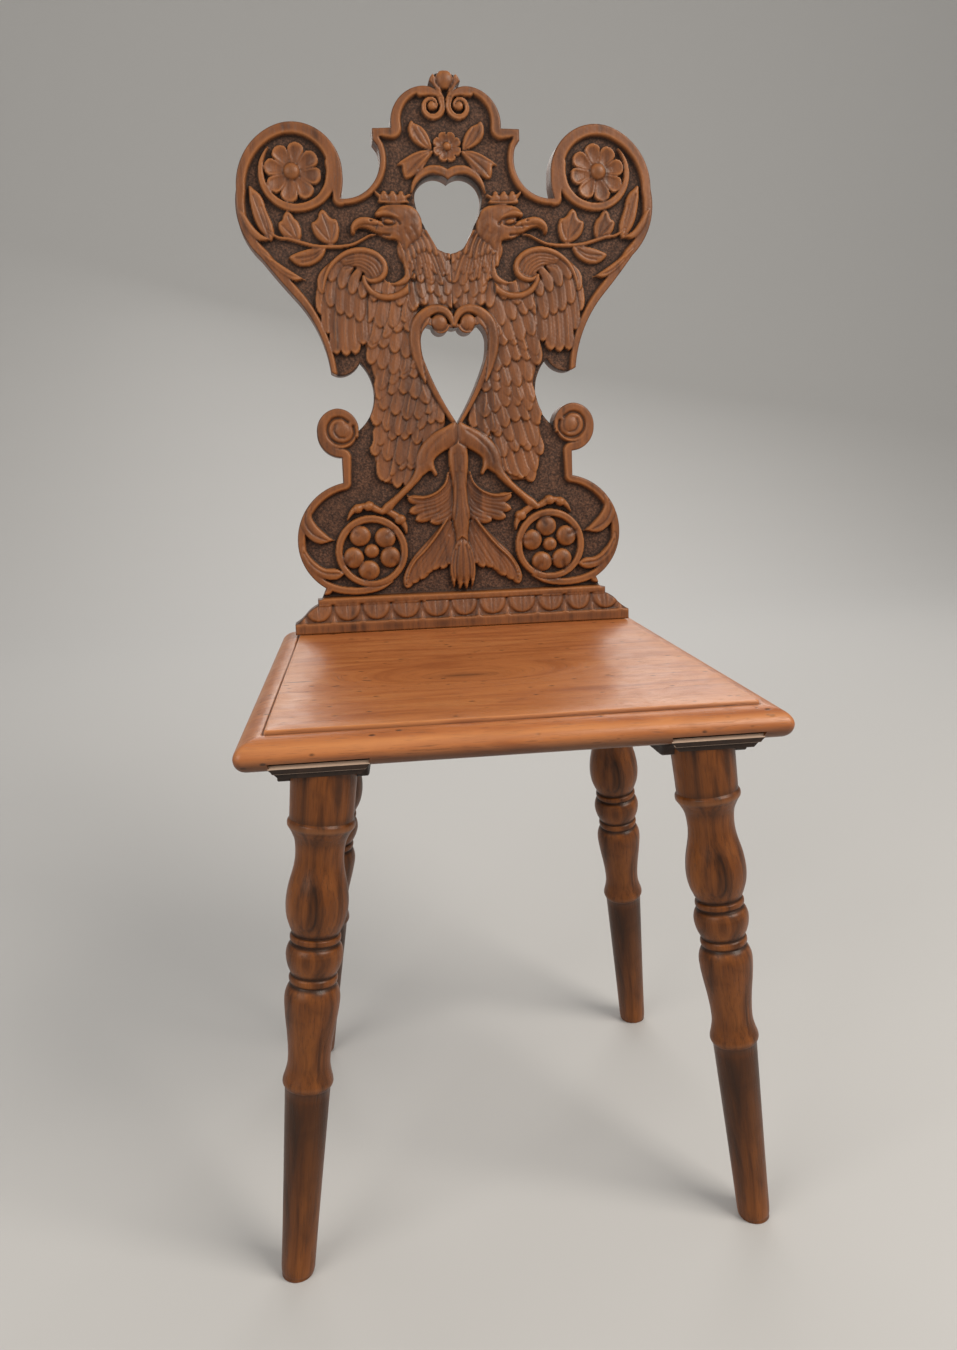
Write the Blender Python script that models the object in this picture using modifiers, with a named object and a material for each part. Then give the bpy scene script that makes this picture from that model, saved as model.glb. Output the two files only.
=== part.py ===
"""Carved board chair: a plank back carved with a double eagle, a trapezoid seat held by two
dovetailed battens, and four splayed turned legs wedged into the battens. Metres, +Z up,
the chair faces -Y. Left is -X, the left of someone who looks at the chair's front."""

import math

import bmesh
import bpy
import numpy as np
from mathutils import Matrix, Vector
from mathutils.geometry import delaunay_2d_cdt

# Seat
SEAT_TOP = 0.455
SEAT_THICKNESS = 0.027
SEAT_FRONT_WIDTH = 0.433
SEAT_REAR_WIDTH = 0.379
SEAT_DEPTH = 0.386
SEAT_CORNER = 0.008
FIELD_STEP = 0.003
EDGE_WIDTH = 0.021
EDGE_UNDERCUT = 0.009

# Battens
BATTEN_WIDTH = 0.070
BATTEN_HEIGHT = 0.024
BATTEN_LET_IN = 0.007
BATTEN_FLARE = 0.0025
BATTEN_LIP = 0.004
BATTEN_NOSE = 0.025
BATTEN_FRONT_SETBACK = 0.0095
BATTEN_REAR_SETBACK = 0.010

# Legs
FRONT_LEG_INSET = 0.0655
REAR_LEG_INSET = 0.059
FRONT_LEG_SETBACK = 0.030
REAR_LEG_SETBACK = 0.1295
SPLAY_SIDE = 0.0447
SPLAY_AWAY = 0.0427
LEG_DIAMETER = 0.0527
LEG_FOOT_ROUND = 0.004
LEG_TENON_DIAMETER = 0.028
WEDGE_THICKNESS = 0.0024
WEDGE_TIP = 0.0012
WEDGE_DEPTH = 0.015

# Back
BACK_HEIGHT = 0.541
BACK_HALF_WIDTH = 0.205
BACK_THICKNESS = 0.024
BACK_LEAN = 0.108
BACK_SETBACK = 0.0465
CARVING_DEPTH = 0.006
RIM_SLOPE = 0.0015
RELIEF_SPACING = 0.0019
RELIEF_NET = 0.0012
LINE_SPACING = 0.016
HALF_FACE_TRIANGLES = 4100
BACK_TENON_WIDTH = 0.046
BACK_TENON_THICKNESS = 0.018
BACK_TENON_BELOW = 0.030
KEY_LENGTH = 0.058
KEY_WIDTH = 0.009
KEY_HEIGHT = 0.013
KEY_TIP_HEIGHT = 0.009

# Fits and cuts
GAP = 0.0003
OVERRUN = 0.020
TENON_ROOT = 0.012

# The carver's net over the back: this many squares up, and this many across one half
NET_LINES_UP_share = 541
NET_LINES_ACROSS_share = 205
NET_X = BACK_HALF_WIDTH / NET_LINES_ACROSS_share
NET_Z = BACK_HEIGHT / NET_LINES_UP_share
NET = (NET_X + NET_Z) / 2

# Right half of the plank's outline, from its foot up: net place, bulge of the arc to the next
# point (sagitta over half the chord, positive outwards) and width of the rim along that arc
OUTLINE_shares = (
    (174.5, -6, 0, 0),
    (174.5, 10.5, -0.10, 0),
    (163, 19.5, 0.12, 0),
    (150.3, 28.8, 0, 0),
    (150.3, 34.6, 0, 0),
    (146, 34.6, 0, 0),
    (141, 45.8, 0.26, 7),
    (167, 93, 0.364, 8),
    (118, 151.5, 0, 7.5),
    (118, 176.5, 0.414, 9),
    (141.6, 201, 0.414, 9),
    (120.5, 224.8, 0.414, 8),
    (99.7, 203, -0.45, 0),
    (95, 269.8, 0.20, 0),
    (109, 257.8, 0.25, 0),
    (124, 260, -0.154, 6),
    (153.5, 330, 0.02, 8),
    (185.5, 369, 0.27, 9),
    (205, 432, 0.3125, 9),
    (165.6, 490.4, 0.532, 10.5),
    (102.8, 447, 0.10, 13.5),
    (106, 423.5, -0.543, 6),
    (68, 472, 0, 6),
    (72.2, 477.5, 0, 7),
    (72.2, 488, 0, 7),
    (54, 488.6, 0.435, 10),
    (21, 527, 0.15, 6),
    (9, 523.5, -0.15, 0),
    (15.3, 531, 0.38, 0),
    (0, 541, 0, 0),
)
# Right halves of the two heart-shaped holes, from the tip up: net place and bulge
LOWER_HEART_shares = (
    (0, 206.5, 0.06),
    (31.5, 270.5, 0.06),
    (33.5, 286, 0.25),
    (26, 304, 0),
    (21.5, 302.5, -0.767),
    (4.5, 301, 0),
    (0, 300, 0),
)
UPPER_HEART_shares = (
    (0, 372, 0.15),
    (13.2, 377.3, 0.05),
    (25.3, 400, 0.10),
    (33.3, 422, 0.42),
    (14, 446, 0.20),
    (0, 441, 0),
)

# Ridges of the carving on the right half: height over the ground, then net places with the
# half width there, all in squares of the net
RIDGES_shares = (
    # band of the crest that curls into its scroll, and the leaves beside the flower
    (6, (26, 521, 4), (15, 522, 4.2), (7, 520, 3.6), (3.4, 514, 3)),
    (5, (14, 472, 3), (23, 482, 6.5), (30, 491, 5), (34, 497, 1.5)),
    (5, (15, 467, 3), (30, 461, 7), (40, 457.5, 4.5), (50, 456, 1.4)),
    (5, (24, 462, 6), (34, 452, 6), (41, 442, 1.8)),
    # vine from the beak, its leaves and the leaf sheaths on the slanted edge
    (3.5, (97, 384, 1.6), (112, 379.5, 1.8), (132, 379.5, 2), (151, 384, 2), (166, 394, 2), (177, 409, 1.8)),
    (5, (117, 381, 2), (121, 396, 9), (125, 413, 1.5)),
    (5, (151, 384, 2), (156, 399, 8), (158, 412, 1.5)),
    (5, (177, 398, 2), (184, 415, 6), (188, 433, 1.5)),
    (5, (124, 376, 2), (140, 369, 9), (156, 358, 1.5)),
    (7, (198, 412, 3), (188, 390, 7), (172, 370, 7), (143, 349, 1.5)),
    (7, (176, 366, 3), (160, 344, 6), (148, 326, 5), (134, 305, 1.5)),
    # crown
    (5.5, (41, 421.5, 2.4), (68, 421.5, 2.4)),
    (5.5, (43, 421, 3.2), (38, 429, 1.6)),
    (5.5, (48, 421, 3.4), (47, 431, 1.8)),
    (5.5, (55, 421, 3.4), (55, 432, 1.8)),
    (5.5, (62, 421, 3.4), (63, 431, 1.8)),
    (5.5, (67, 421, 3), (73, 430.5, 1.6)),
    # head: brow, upper and lower beak, cheek and chin
    (9, (36, 409, 4), (50, 413, 4.5), (62, 412.5, 4.5), (71, 408, 2)),
    (7.5, (62, 401, 8), (76, 402, 6.5), (86, 401, 5.5), (94, 396, 4.5), (96.5, 389.5, 1.8)),
    (5.5, (52, 388, 6), (66, 388.5, 4), (80, 392, 1.6)),
    (6, (34, 394, 9), (40, 386, 6.5), (44, 376, 1.8)),
    # neck
    (6, (22, 397, 4), (15, 373, 5), (6, 350, 4)),
    (6, (30, 388, 5), (23, 366, 5), (13, 343, 4)),
    (6, (37, 380, 5), (33, 362, 5), (25, 342, 4)),
    (5, (8, 372, 5), (2, 345, 5), (2, 330, 4)),
    # wing bow with its hook, the curl below it and the leaf between them
    (6.5, (113, 365, 2), (99, 374, 2.8), (84, 375, 2.8), (71, 369, 2.8), (66, 358, 2.8), (70, 348.5, 2.8),
     (79, 346.5, 2.8), (87, 350, 2)),
    (7, (33, 357, 2), (37, 345, 3.5), (47, 335.5, 3.5), (62, 330, 3.5), (76, 332.5, 3.5), (85, 341, 3),
     (87, 350, 2)),
    (5, (37, 352, 2), (46, 343.5, 3), (59, 341, 1.5)),
    # wing feathers
    (5, (76, 366, 5), (92, 358, 6), (101, 344, 2)),
    (5, (92, 370, 5), (108, 359, 6), (117, 343, 2)),
    (5, (112, 364, 4), (126, 345, 5.5), (132, 315, 2)),
    (5, (106, 358, 4), (119, 332, 5.5), (125, 299, 2)),
    (5, (99, 352, 4), (111, 325, 5.5), (117, 285, 2.5)),
    (5, (91, 344, 4), (101, 318, 5.5), (106, 282, 2.5)),
    (5, (86, 338, 4), (92, 312, 5.5), (95, 282, 2.5)),
    # body feathers, in rows from the breast down to the tail
    (4.5, (38, 328, 4), (41, 314, 5.5), (47, 298, 2)),
    (4.5, (50, 327, 4), (53, 312, 5.5), (58, 294, 2)),
    (4.5, (62, 325, 4), (66, 310, 5.5), (71, 292, 2)),
    (4.5, (74, 326, 4), (78, 310, 5.5), (84, 292, 2)),
    (5, (43, 300, 4), (46, 284, 5.5), (51, 265, 2)),
    (5, (53, 297, 4), (57, 282, 5.5), (62, 262, 2)),
    (5, (65, 296, 4), (69, 281, 5.5), (75, 260, 2)),
    (4.5, (39, 272, 4), (43, 256, 5.5), (48, 236, 2)),
    (5, (50, 268, 4), (54, 252, 5.5), (60, 232, 2)),
    (5, (62, 266, 4), (67, 252, 5.5), (77, 236, 2)),
    (4.5, (29, 249, 3), (32, 232, 5.5), (37, 208, 2)),
    (5, (40, 242, 4), (43, 226, 5.5), (49, 204, 2)),
    (5, (52, 239, 4), (56, 222, 5.5), (62, 200, 2)),
    (5, (65, 240, 4), (69, 224, 5.5), (76, 206, 2)),
    (4.5, (18, 228, 3), (20, 214, 5), (24, 198, 2)),
    (4.5, (44, 208, 4), (50, 180, 5.5), (61, 143, 2)),
    (5, (54, 208, 4), (60, 182, 5.5), (70, 157, 2)),
    (5, (65, 210, 4), (72, 182, 6), (82, 150, 2)),
    (4.5, (38, 206, 4), (42, 186, 5), (47, 166, 2)),
    # thigh, shank and spur of the knee, the toes and their claws
    (8, (0, 205, 5), (9, 194, 11), (24, 181, 12), (35, 165, 9), (50, 147, 6), (66, 131, 5), (79, 121, 5.5)),
    (6, (33, 168, 5), (22, 157, 2)),
    (7, (79, 121, 4.5), (91, 127, 5), (100, 127, 4.5), (109, 124, 4.2), (117, 113, 1.4)),
    (7, (78, 121, 4.5), (68, 117, 4.5), (61, 110, 4.5), (57, 98, 1.4)),
    # scroll that runs over the lower heart into its two bosses
    (7, (37, 288, 3), (37, 303, 4.5), (29, 315, 4.5), (15, 320, 4.5), (4, 314, 4), (1, 303, 3)),
    # acanthus: stalk, curled side leaf, fan
    (7, (0, 190, 9), (0, 160, 9), (0, 138, 9), (0, 112, 10), (0, 90, 7)),
    (6.5, (11, 158, 2), (14, 148, 2.6), (22, 139, 2.8), (34, 133.5, 2.8), (53, 133, 1.5)),
    (5.5, (6, 150, 4), (14, 134, 5), (27, 125, 5.5), (53, 119, 1.8)),
    (5.5, (5, 140, 4), (12, 124, 5), (25, 116.5, 5.5), (46, 111, 1.8)),
    (5.5, (4, 130, 4), (10, 117, 5), (18, 111, 5), (31, 107.5, 1.8)),
    (6, (12, 110, 3), (26, 92, 5.5), (45, 72, 5.5), (58, 43, 1.8)),
    (5.5, (11, 107, 3), (25, 84, 5.5), (38, 65, 5), (47, 47, 1.8)),
    (5.5, (9, 104, 3), (18, 82, 5.5), (30, 63, 5), (37, 55, 1.8)),
    (5.5, (6, 100, 4), (12, 80, 5.5), (20, 64, 5), (24, 56, 1.8)),
    # curled leaves of the lobe and the band under the rose
    (6, (146, 136, 2), (155, 121, 6), (151, 104, 6), (131, 92, 1.5)),
    (6, (161, 92, 2), (157, 77, 5), (144, 64, 6), (125, 58, 1.5)),
    (6, (141, 50, 3), (118, 44, 4), (96, 44.5, 4), (74, 50, 2)),
)
# Domes of the carving: height, net place, half width across and up
DOMES_shares = (
    (8, 46, 402, 22, 15),
    (8.5, 60, 402.5, 4, 2.6),
    (7.5, 13, 304, 9, 9),
    (7.5, 119, 203, 6.5, 6.5),
    (8, 0, 64, 11, 20),
    (9, 0, 532, 8.5, 9.5),
    (6, 11, 531, 5, 8),
    (7, 13.2, 509, 4.6, 4.6),
)
# Flowers: height, net place, number of petals, radius to their middles, half length, half width,
# first angle in degrees, radius and height of the boss
FLOWERS_shares = (
    (5.5, 150, 448, 8, 17.8, 9.4, 6.7, 12, 7.8, 8),
    (5, 0, 473, 8, 8.6, 4.8, 3.6, 0, 3.6, 6),
    (6.5, 92.5, 81, 5, 18.5, 10, 9.6, 90, 6.5, 7),
)
# Rings: height, net place, radius, half width
RINGS_shares = (
    (6, 149.5, 447, 31.5, 4.2),
    (6.5, 92.5, 81, 32.5, 3.6),
    (6, 13.2, 509, 9.6, 2.4),
    (7, 119.5, 203.5, 12.5, 3),
)
HEART_BEAD_share = 3.5
HEART_BEAD_HEIGHT_share = 7
FIGURE_HEIGHT_share = 2.6
# Ground raised a little under the feathers, as a ridge of the same kind as the ones above
FIGURE_shares = (
    ((24, 388, 10), (22, 355, 26), (56, 312, 30), (62, 275, 24), (56, 235, 26), (46, 205, 34), (60, 170, 20)),
    ((88, 362, 20), (104, 335, 26), (108, 305, 16)),
)
# Moulding of the foot: net line and height over the ground, from the foot up
FOOT_MOULDING_shares = (
    (-6, 10.5),
    (8.8, 10.5),
    (10.4, 8.4),
    (15, 8),
    (22, 6.8),
    (27.4, 5),
    (29, 7),
    (34, 7),
    (35.6, 5.2),
    (38, 0),
)
# Leaves that hang from the moulding's upper fillet: pitch, half width, line they hang from, length
# and height over the moulding
FOOT_LEAF_PITCH_share = 30.2
FOOT_LEAF_HALF_WIDTH_share = 12.8
FOOT_LEAF_TOP_share = 27.4
FOOT_LEAF_LENGTH_share = 16
FOOT_LEAF_HEIGHT_share = 2.4

# Turned leg: share of the length from the batten down, and share of the greatest diameter
LEG_PROFILE_shares = (
    (0.000, 0.968),
    (0.074, 0.940),
    (0.079, 0.990),
    (0.085, 1.000),
    (0.091, 0.975),
    (0.102, 0.850),
    (0.118, 0.750),
    (0.145, 0.716),
    (0.170, 0.755),
    (0.205, 0.880),
    (0.239, 0.928),
    (0.268, 0.880),
    (0.290, 0.740),
    (0.296, 0.700),
    (0.300, 0.735),
    (0.308, 0.735),
    (0.312, 0.700),
    (0.322, 0.810),
    (0.337, 0.848),
    (0.358, 0.790),
    (0.375, 0.680),
    (0.381, 0.705),
    (0.389, 0.705),
    (0.394, 0.680),
    (0.408, 0.790),
    (0.428, 0.830),
    (0.460, 0.790),
    (0.520, 0.655),
    (0.556, 0.640),
    (0.578, 0.715),
    (0.592, 0.763),
    (0.600, 0.745),
    (0.606, 0.690),
    (0.800, 0.595),
)
LEG_FOOT_share = 0.52
LEG_STEPS = 16

DEGREES_PER_ARC_POINT = 14
LONGEST_EDGE = 0.016

PARTS = "carved_chair"
CUTTERS = "cutters"

WOODS = {
    "walnut_carved": ((0.155, 0.060, 0.026), 0.45),
    "walnut_seat": ((0.250, 0.095, 0.035), 0.35),
    "walnut_turned": ((0.150, 0.055, 0.024), 0.35),
    "oak_dark": ((0.045, 0.025, 0.016), 0.60),
}


def clear_scene():
    for thing in list(bpy.data.objects):
        bpy.data.objects.remove(thing, do_unlink=True)
    made = {}
    for name in (PARTS, CUTTERS):
        made[name] = bpy.data.collections.new(name)
        bpy.context.scene.collection.children.link(made[name])
    made[CUTTERS].hide_render = True
    return made


def wood(name, part):
    """A material of its own for one part, in the named wood's colour."""
    colour, roughness = WOODS[name]
    material = bpy.data.materials.new(f"{part}_{name}")
    material.use_nodes = True
    shader = material.node_tree.nodes["Principled BSDF"]
    shader.inputs["Base Color"].default_value = (*colour, 1)
    shader.inputs["Roughness"].default_value = roughness
    shader.inputs["Metallic"].default_value = 0
    material.diffuse_color = (*colour, 1)
    return material


def add_object(name, mesh, collection):
    made = bpy.data.objects.new(name, mesh)
    collection.objects.link(made)
    return made


def add_part(name, mesh, wood_name):
    made = add_object(name, mesh, collections[PARTS])
    mesh.materials.append(wood(wood_name, name))
    return made


def add_cutter(name, mesh):
    made = add_object(name, mesh, collections[CUTTERS])
    made.hide_render = True
    made.display_type = "WIRE"
    return made


def mesh_of(name, shape):
    """A mesh from a bmesh whose faces are turned outwards."""
    bmesh.ops.recalc_face_normals(shape, faces=shape.faces)
    mesh = bpy.data.meshes.new(name)
    shape.to_mesh(mesh)
    shape.free()
    return mesh


def box_mesh(name, low, high):
    shape = bmesh.new()
    bmesh.ops.create_cube(shape, size=1)
    size = Vector(high) - Vector(low)
    middle = (Vector(high) + Vector(low)) / 2
    bmesh.ops.transform(shape, matrix=Matrix.Translation(middle) @ Matrix.Diagonal((*size, 1)), verts=shape.verts)
    return mesh_of(name, shape)


def prism_mesh(name, outline, axis, start, end):
    """A closed outline of (a, b) points run from start to end along axis X or Y; b is up."""
    shape = bmesh.new()
    rings = []
    for along in (start, end):
        if axis == "X":
            rings.append([shape.verts.new((along, a, b)) for a, b in outline])
        else:
            rings.append([shape.verts.new((a, along, b)) for a, b in outline])
    count = len(outline)
    for k in range(count):
        following = (k + 1) % count
        shape.faces.new((rings[0][k], rings[0][following], rings[1][following], rings[1][k]))
    shape.faces.new(rings[0])
    shape.faces.new(list(reversed(rings[1])))
    return mesh_of(name, shape)


def boolean(part, cutter, operation):
    modifier = part.modifiers.new(f"{operation}_{cutter.name}".lower(), "BOOLEAN")
    modifier.operation = operation
    modifier.solver = "EXACT"
    modifier.object = cutter


def arc_points(start, end, bulge):
    """Points from start to just before end along the arc that the bulge gives."""
    start = np.array(start, float)
    end = np.array(end, float)
    chord = end - start
    length = float(np.hypot(*chord))
    sweep = 4 * math.atan(bulge)
    by_angle = abs(math.degrees(sweep)) / DEGREES_PER_ARC_POINT
    count = max(1, math.ceil(by_angle), math.ceil(length / LONGEST_EDGE))
    if abs(bulge) < math.ulp(1) * count:
        return [start + chord * k / count for k in range(count)]
    side = np.array([chord[1], -chord[0]]) / length
    radius = length / 2 / math.sin(abs(sweep) / 2)
    centre = (start + end) / 2 - math.copysign(radius * math.cos(sweep / 2), bulge) * side
    reach = start - centre
    points = []
    for k in range(count):
        turn = sweep * k / count
        turned = (
            reach[0] * math.cos(turn) - reach[1] * math.sin(turn),
            reach[0] * math.sin(turn) + reach[1] * math.cos(turn),
        )
        points.append(centre + np.array(turned))
    return points


def half_path(rows):
    """The arcs of half an outline as points, with the rim width there, which runs from row to row."""
    points = []
    values = []
    for row, following in zip(rows, rows[1:]):
        start = (row[0] * NET_X, row[1] * NET_Z)
        end = (following[0] * NET_X, following[1] * NET_Z)
        arc = arc_points(start, end, row[2])
        points += arc
        change = following[-1] - row[-1] if row[-1] and following[-1] else 0
        values += [row[-1] + change * k / len(arc) for k in range(len(arc))]
    points.append(np.array([rows[-1][0] * NET_X, rows[-1][1] * NET_Z]))
    values.append(rows[-1][-1])
    return np.array(points), np.array(values, float)


def mirrored_loop(half):
    """A closed loop from a right half whose ends lie on the middle line or below the foot."""
    left = half[::-1] * np.array([-1, 1])
    first = 1 if abs(half[-1][0]) < GAP else 0
    last = -1 if abs(half[0][0]) < GAP else None
    return np.concatenate([half, left[first:last]])


def along_path(rows):
    """A ridge's path in metres: places, half widths and the length along it."""
    rows = np.array(rows, float)
    places = rows[:, :2] * np.array([NET_X, NET_Z])
    return places, rows[:, 2] * NET


def distance_to_path(u, v, places, values):
    """Distance from each point to a polyline, and the value interpolated at the nearest place."""
    nearest = np.full(u.shape, np.inf)
    value = np.zeros(u.shape)
    for a, b, first, last in zip(places, places[1:], values, values[1:]):
        run = b - a
        share = ((u - a[0]) * run[0] + (v - a[1]) * run[1]) / (run @ run)
        share = np.clip(share, 0, 1)
        gap = np.hypot(u - a[0] - share * run[0], v - a[1] - share * run[1])
        closer = gap < nearest
        nearest = np.where(closer, gap, nearest)
        value = np.where(closer, first + share * (last - first), value)
    return nearest, value


def round_top(share):
    """Height of a half round over its half width, both as shares."""
    return np.sqrt(np.clip(1 - share * share, 0, None))


def flat_top(share):
    """Height of a band with short sloping sides."""
    side = 0.25
    return np.clip((1 - share) / side, 0, 1)


def petals(flower):
    """Middles and angles of a flower's petals."""
    height, across, up, count, reach, length, width, first, boss, boss_height = flower
    for k in range(count):
        angle = math.radians(first + 360 * k / count)
        yield across * NET_X + reach * NET * math.cos(angle), up * NET_Z + reach * NET * math.sin(angle), angle


def relief(u, v):
    """Height of the carving over its ground at places on the plank's face."""
    u = np.abs(np.asarray(u, float))
    v = np.asarray(v, float)
    rim = np.zeros(u.shape)
    for a, b, width in zip(outline_half, outline_half[1:], outline_rims):
        if width:
            gap, _ = distance_to_path(u, v, np.array([a, b]), np.array([0.0, 0.0]))
            rim = np.maximum(rim, np.clip((width * NET + RIM_SLOPE - gap) / RIM_SLOPE, 0, 1))
    height = rim * CARVING_DEPTH
    for rows in FIGURE_shares:
        gap, width = distance_to_path(u, v, *along_path(rows))
        height = np.maximum(height, FIGURE_HEIGHT_share * NET * flat_top(gap / width))
    for rise, *rows in RIDGES_shares:
        gap, width = distance_to_path(u, v, *along_path(rows))
        height = np.maximum(height, rise * NET * round_top(gap / width))
    for rise, across, up, half_across, half_up in DOMES_shares:
        share = np.hypot((u - across * NET_X) / (half_across * NET), (v - up * NET_Z) / (half_up * NET))
        height = np.maximum(height, rise * NET * round_top(share))
    for flower in FLOWERS_shares:
        rise, across, up, count, reach, length, width, first, boss, boss_height = flower
        for petal_u, petal_v, angle in petals(flower):
            along = (u - petal_u) * math.cos(angle) + (v - petal_v) * math.sin(angle)
            beside = (v - petal_v) * math.cos(angle) - (u - petal_u) * math.sin(angle)
            share = np.hypot(along / (length * NET), beside / (width * NET))
            height = np.maximum(height, rise * NET * round_top(share))
        share = np.hypot(u - across * NET_X, v - up * NET_Z) / (boss * NET)
        height = np.maximum(height, boss_height * NET * round_top(share))
    for rise, across, up, radius, width in RINGS_shares:
        gap = np.abs(np.hypot(u - across * NET_X, v - up * NET_Z) - radius * NET)
        height = np.maximum(height, rise * NET * flat_top(gap / (width * NET)))
    gap, _ = distance_to_path(u, v, lower_heart_half, np.zeros(len(lower_heart_half)))
    bead = HEART_BEAD_share * NET
    height = np.maximum(height, HEART_BEAD_HEIGHT_share * NET * round_top((gap - bead) / bead))
    moulding = np.array(FOOT_MOULDING_shares, float)
    lines = moulding[:, 0] * NET_Z
    foot = np.interp(v, lines, moulding[:, 1] * NET)
    pitch = FOOT_LEAF_PITCH_share * NET_X
    beside = (u / pitch + 0.5) % 1 * pitch - pitch / 2
    below = (FOOT_LEAF_TOP_share * NET_Z - v) / (FOOT_LEAF_LENGTH_share * NET_Z)
    leaf = np.where(below > 0, round_top(np.hypot(beside / (FOOT_LEAF_HALF_WIDTH_share * NET_X), below)), 0)
    return np.where(v < lines[-1], foot + FOOT_LEAF_HEIGHT_share * NET * leaf, height)


def ring_points(across, up, half_along, half_beside, angle=0):
    """A closed line round an ellipse whose first half width lies along angle."""
    count = math.ceil(math.pi * (half_along + half_beside) / (2.5 * RELIEF_SPACING))
    points = []
    for k in range(count + 1):
        turn = 2 * math.pi * k / count
        along = half_along * math.cos(turn)
        beside = half_beside * math.sin(turn)
        points.append((across + along * math.cos(angle) - beside * math.sin(angle),
                       up + along * math.sin(angle) + beside * math.cos(angle)))
    return points


def open_to_view(line, tops):
    """Splits a form's line where other forms of the carving rise over it."""
    line = np.array(line, float)
    heights = relief(line[:, 0], line[:, 1])
    shown = heights <= tops + CARVING_DEPTH / 10
    runs = [[]]
    for place, kept in zip(line, shown):
        if kept:
            runs[-1].append(tuple(place))
        else:
            runs.append([])
    return [run for run in runs if run]


def carving_lines():
    """Crisp lines on the right half: the foot's moulding, both edges of the rim's slope, rings, petals and crests."""
    for line, _ in FOOT_MOULDING_shares[1:]:
        reach = float(np.interp(line * NET_Z, outline_half[:, 1], outline_half[:, 0])) - RELIEF_SPACING
        count = math.ceil(reach / LINE_SPACING)
        yield [(reach * k / count, line * NET_Z) for k in range(count + 1)]
    for extra in (0, RIM_SLOPE):
        band = []
        for here, following, width in zip(outline_half, outline_half[1:], outline_rims):
            run = following - here
            inwards = np.array([-run[1], run[0]]) / np.hypot(*run)
            place = here + run / 2 + inwards * (width * NET + extra)
            gap, _ = distance_to_path(place[:1], place[1:], outline_half, np.zeros(len(outline_half)))
            if width and gap[0] > (width * NET + extra) * 0.95:
                band.append(tuple(place))
            else:
                yield from open_to_view(band, CARVING_DEPTH) if band else []
                band = []
        yield from open_to_view(band, CARVING_DEPTH) if band else []
    for rise, across, up, radius, width in RINGS_shares:
        for reach, top in ((radius - width, 0), (radius + width, 0), (radius - width * 0.7, rise),
                           (radius + width * 0.7, rise)):
            ring = ring_points(across * NET_X, up * NET_Z, reach * NET, reach * NET)
            yield from open_to_view(ring, top * NET)
    for flower in FLOWERS_shares:
        rise, across, up, count, reach, length, width, first, boss, boss_height = flower
        yield [(across * NET_X, up * NET_Z)]
        yield ring_points(across * NET_X, up * NET_Z, boss * NET, boss * NET)
        for petal_u, petal_v, angle in petals(flower):
            yield [(petal_u, petal_v)]
            yield from open_to_view(ring_points(petal_u, petal_v, length * NET, width * NET, angle), 0)
    for rise, *rows in RIDGES_shares:
        places, _ = along_path(rows)
        crest = []
        for a, b in zip(places, places[1:]):
            count = math.ceil(np.hypot(*(b - a)) / (LINE_SPACING / 2))
            crest += [a + (b - a) * k / count for k in range(count)]
        yield from open_to_view(crest + [places[-1]], rise * NET)


def inside(loop, u, v):
    """Whether each point lies inside a closed loop."""
    odd = np.zeros(u.shape, bool)
    for a, b in zip(loop, np.roll(loop, -1, axis=0)):
        crosses = (a[1] > v) != (b[1] > v)
        rise = b[1] - a[1] if b[1] != a[1] else 1
        odd ^= crosses & (u < (b[0] - a[0]) * (v - a[1]) / rise + a[0])
    return odd


def on_wood(u, v):
    kept = inside(loops[0], u, v)
    for hole in loops[1:]:
        kept &= ~inside(hole, u, v)
    return kept


def joined_lines():
    """The lines' places and the edges between them; a place near an earlier one is joined to it."""
    nearest = RIM_SLOPE * 0.75
    edge = half_border()
    places = []
    links = set()
    for line in carving_lines():
        before = None
        for place in line:
            place = np.array(place, float)
            if abs(place[0]) < nearest:
                place[0] = 0
            from_edge = edge - place
            if place[0] < 0 or not on_wood(place[:1] + GAP, place[1:])[0] or np.min(np.hypot(*from_edge.T)) < nearest:
                before = None
                continue
            gaps = np.hypot(*(np.array(places) - place).T) if places else np.array([nearest])
            here = int(np.argmin(gaps)) if np.min(gaps) < nearest else len(places)
            if here == len(places):
                places.append(tuple(place))
            if before is not None and before != here:
                links.add((min(before, here), max(before, here)))
            before = here
    return np.array(places), sorted(links)


def half_border():
    """The right half of the wood as one closed loop, which runs down the middle line between the hearts."""
    foot = np.array([(0, outline_half[0][1])])
    return np.concatenate([foot, outline_half, upper_heart_half[::-1], lower_heart_half[::-1]])


def triangles(points, links):
    """Triangles over the right half of the wood; the points after its border are joined by the links."""
    border = half_border()
    count = len(border)
    edges = [(k, (k + 1) % count) for k in range(count)] + [(count + a, count + b) for a, b in links]
    given = np.concatenate([border, points]) if len(points) else border
    flat = [Vector((float(u), float(v))) for u, v in given]
    places, _, faces, origins, _, _ = delaunay_2d_cdt(flat, edges, [], 0, GAP / 100)
    places = np.array([tuple(place) for place in places])
    source = []
    crossings = []
    for place, origin in zip(places, origins):
        if origin:
            source.append(min(origin))
        else:
            source.append(len(given) + len(crossings))
            crossings.append(place)
    middles = np.array([places[list(face)].mean(axis=0) for face in faces])
    wanted = inside(border, middles[:, 0], middles[:, 1])
    kept = [tuple(source[k] for k in face) for face, keep in zip(faces, wanted) if keep]
    return np.concatenate([given, np.array(crossings).reshape(-1, 2)]), kept


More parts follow.
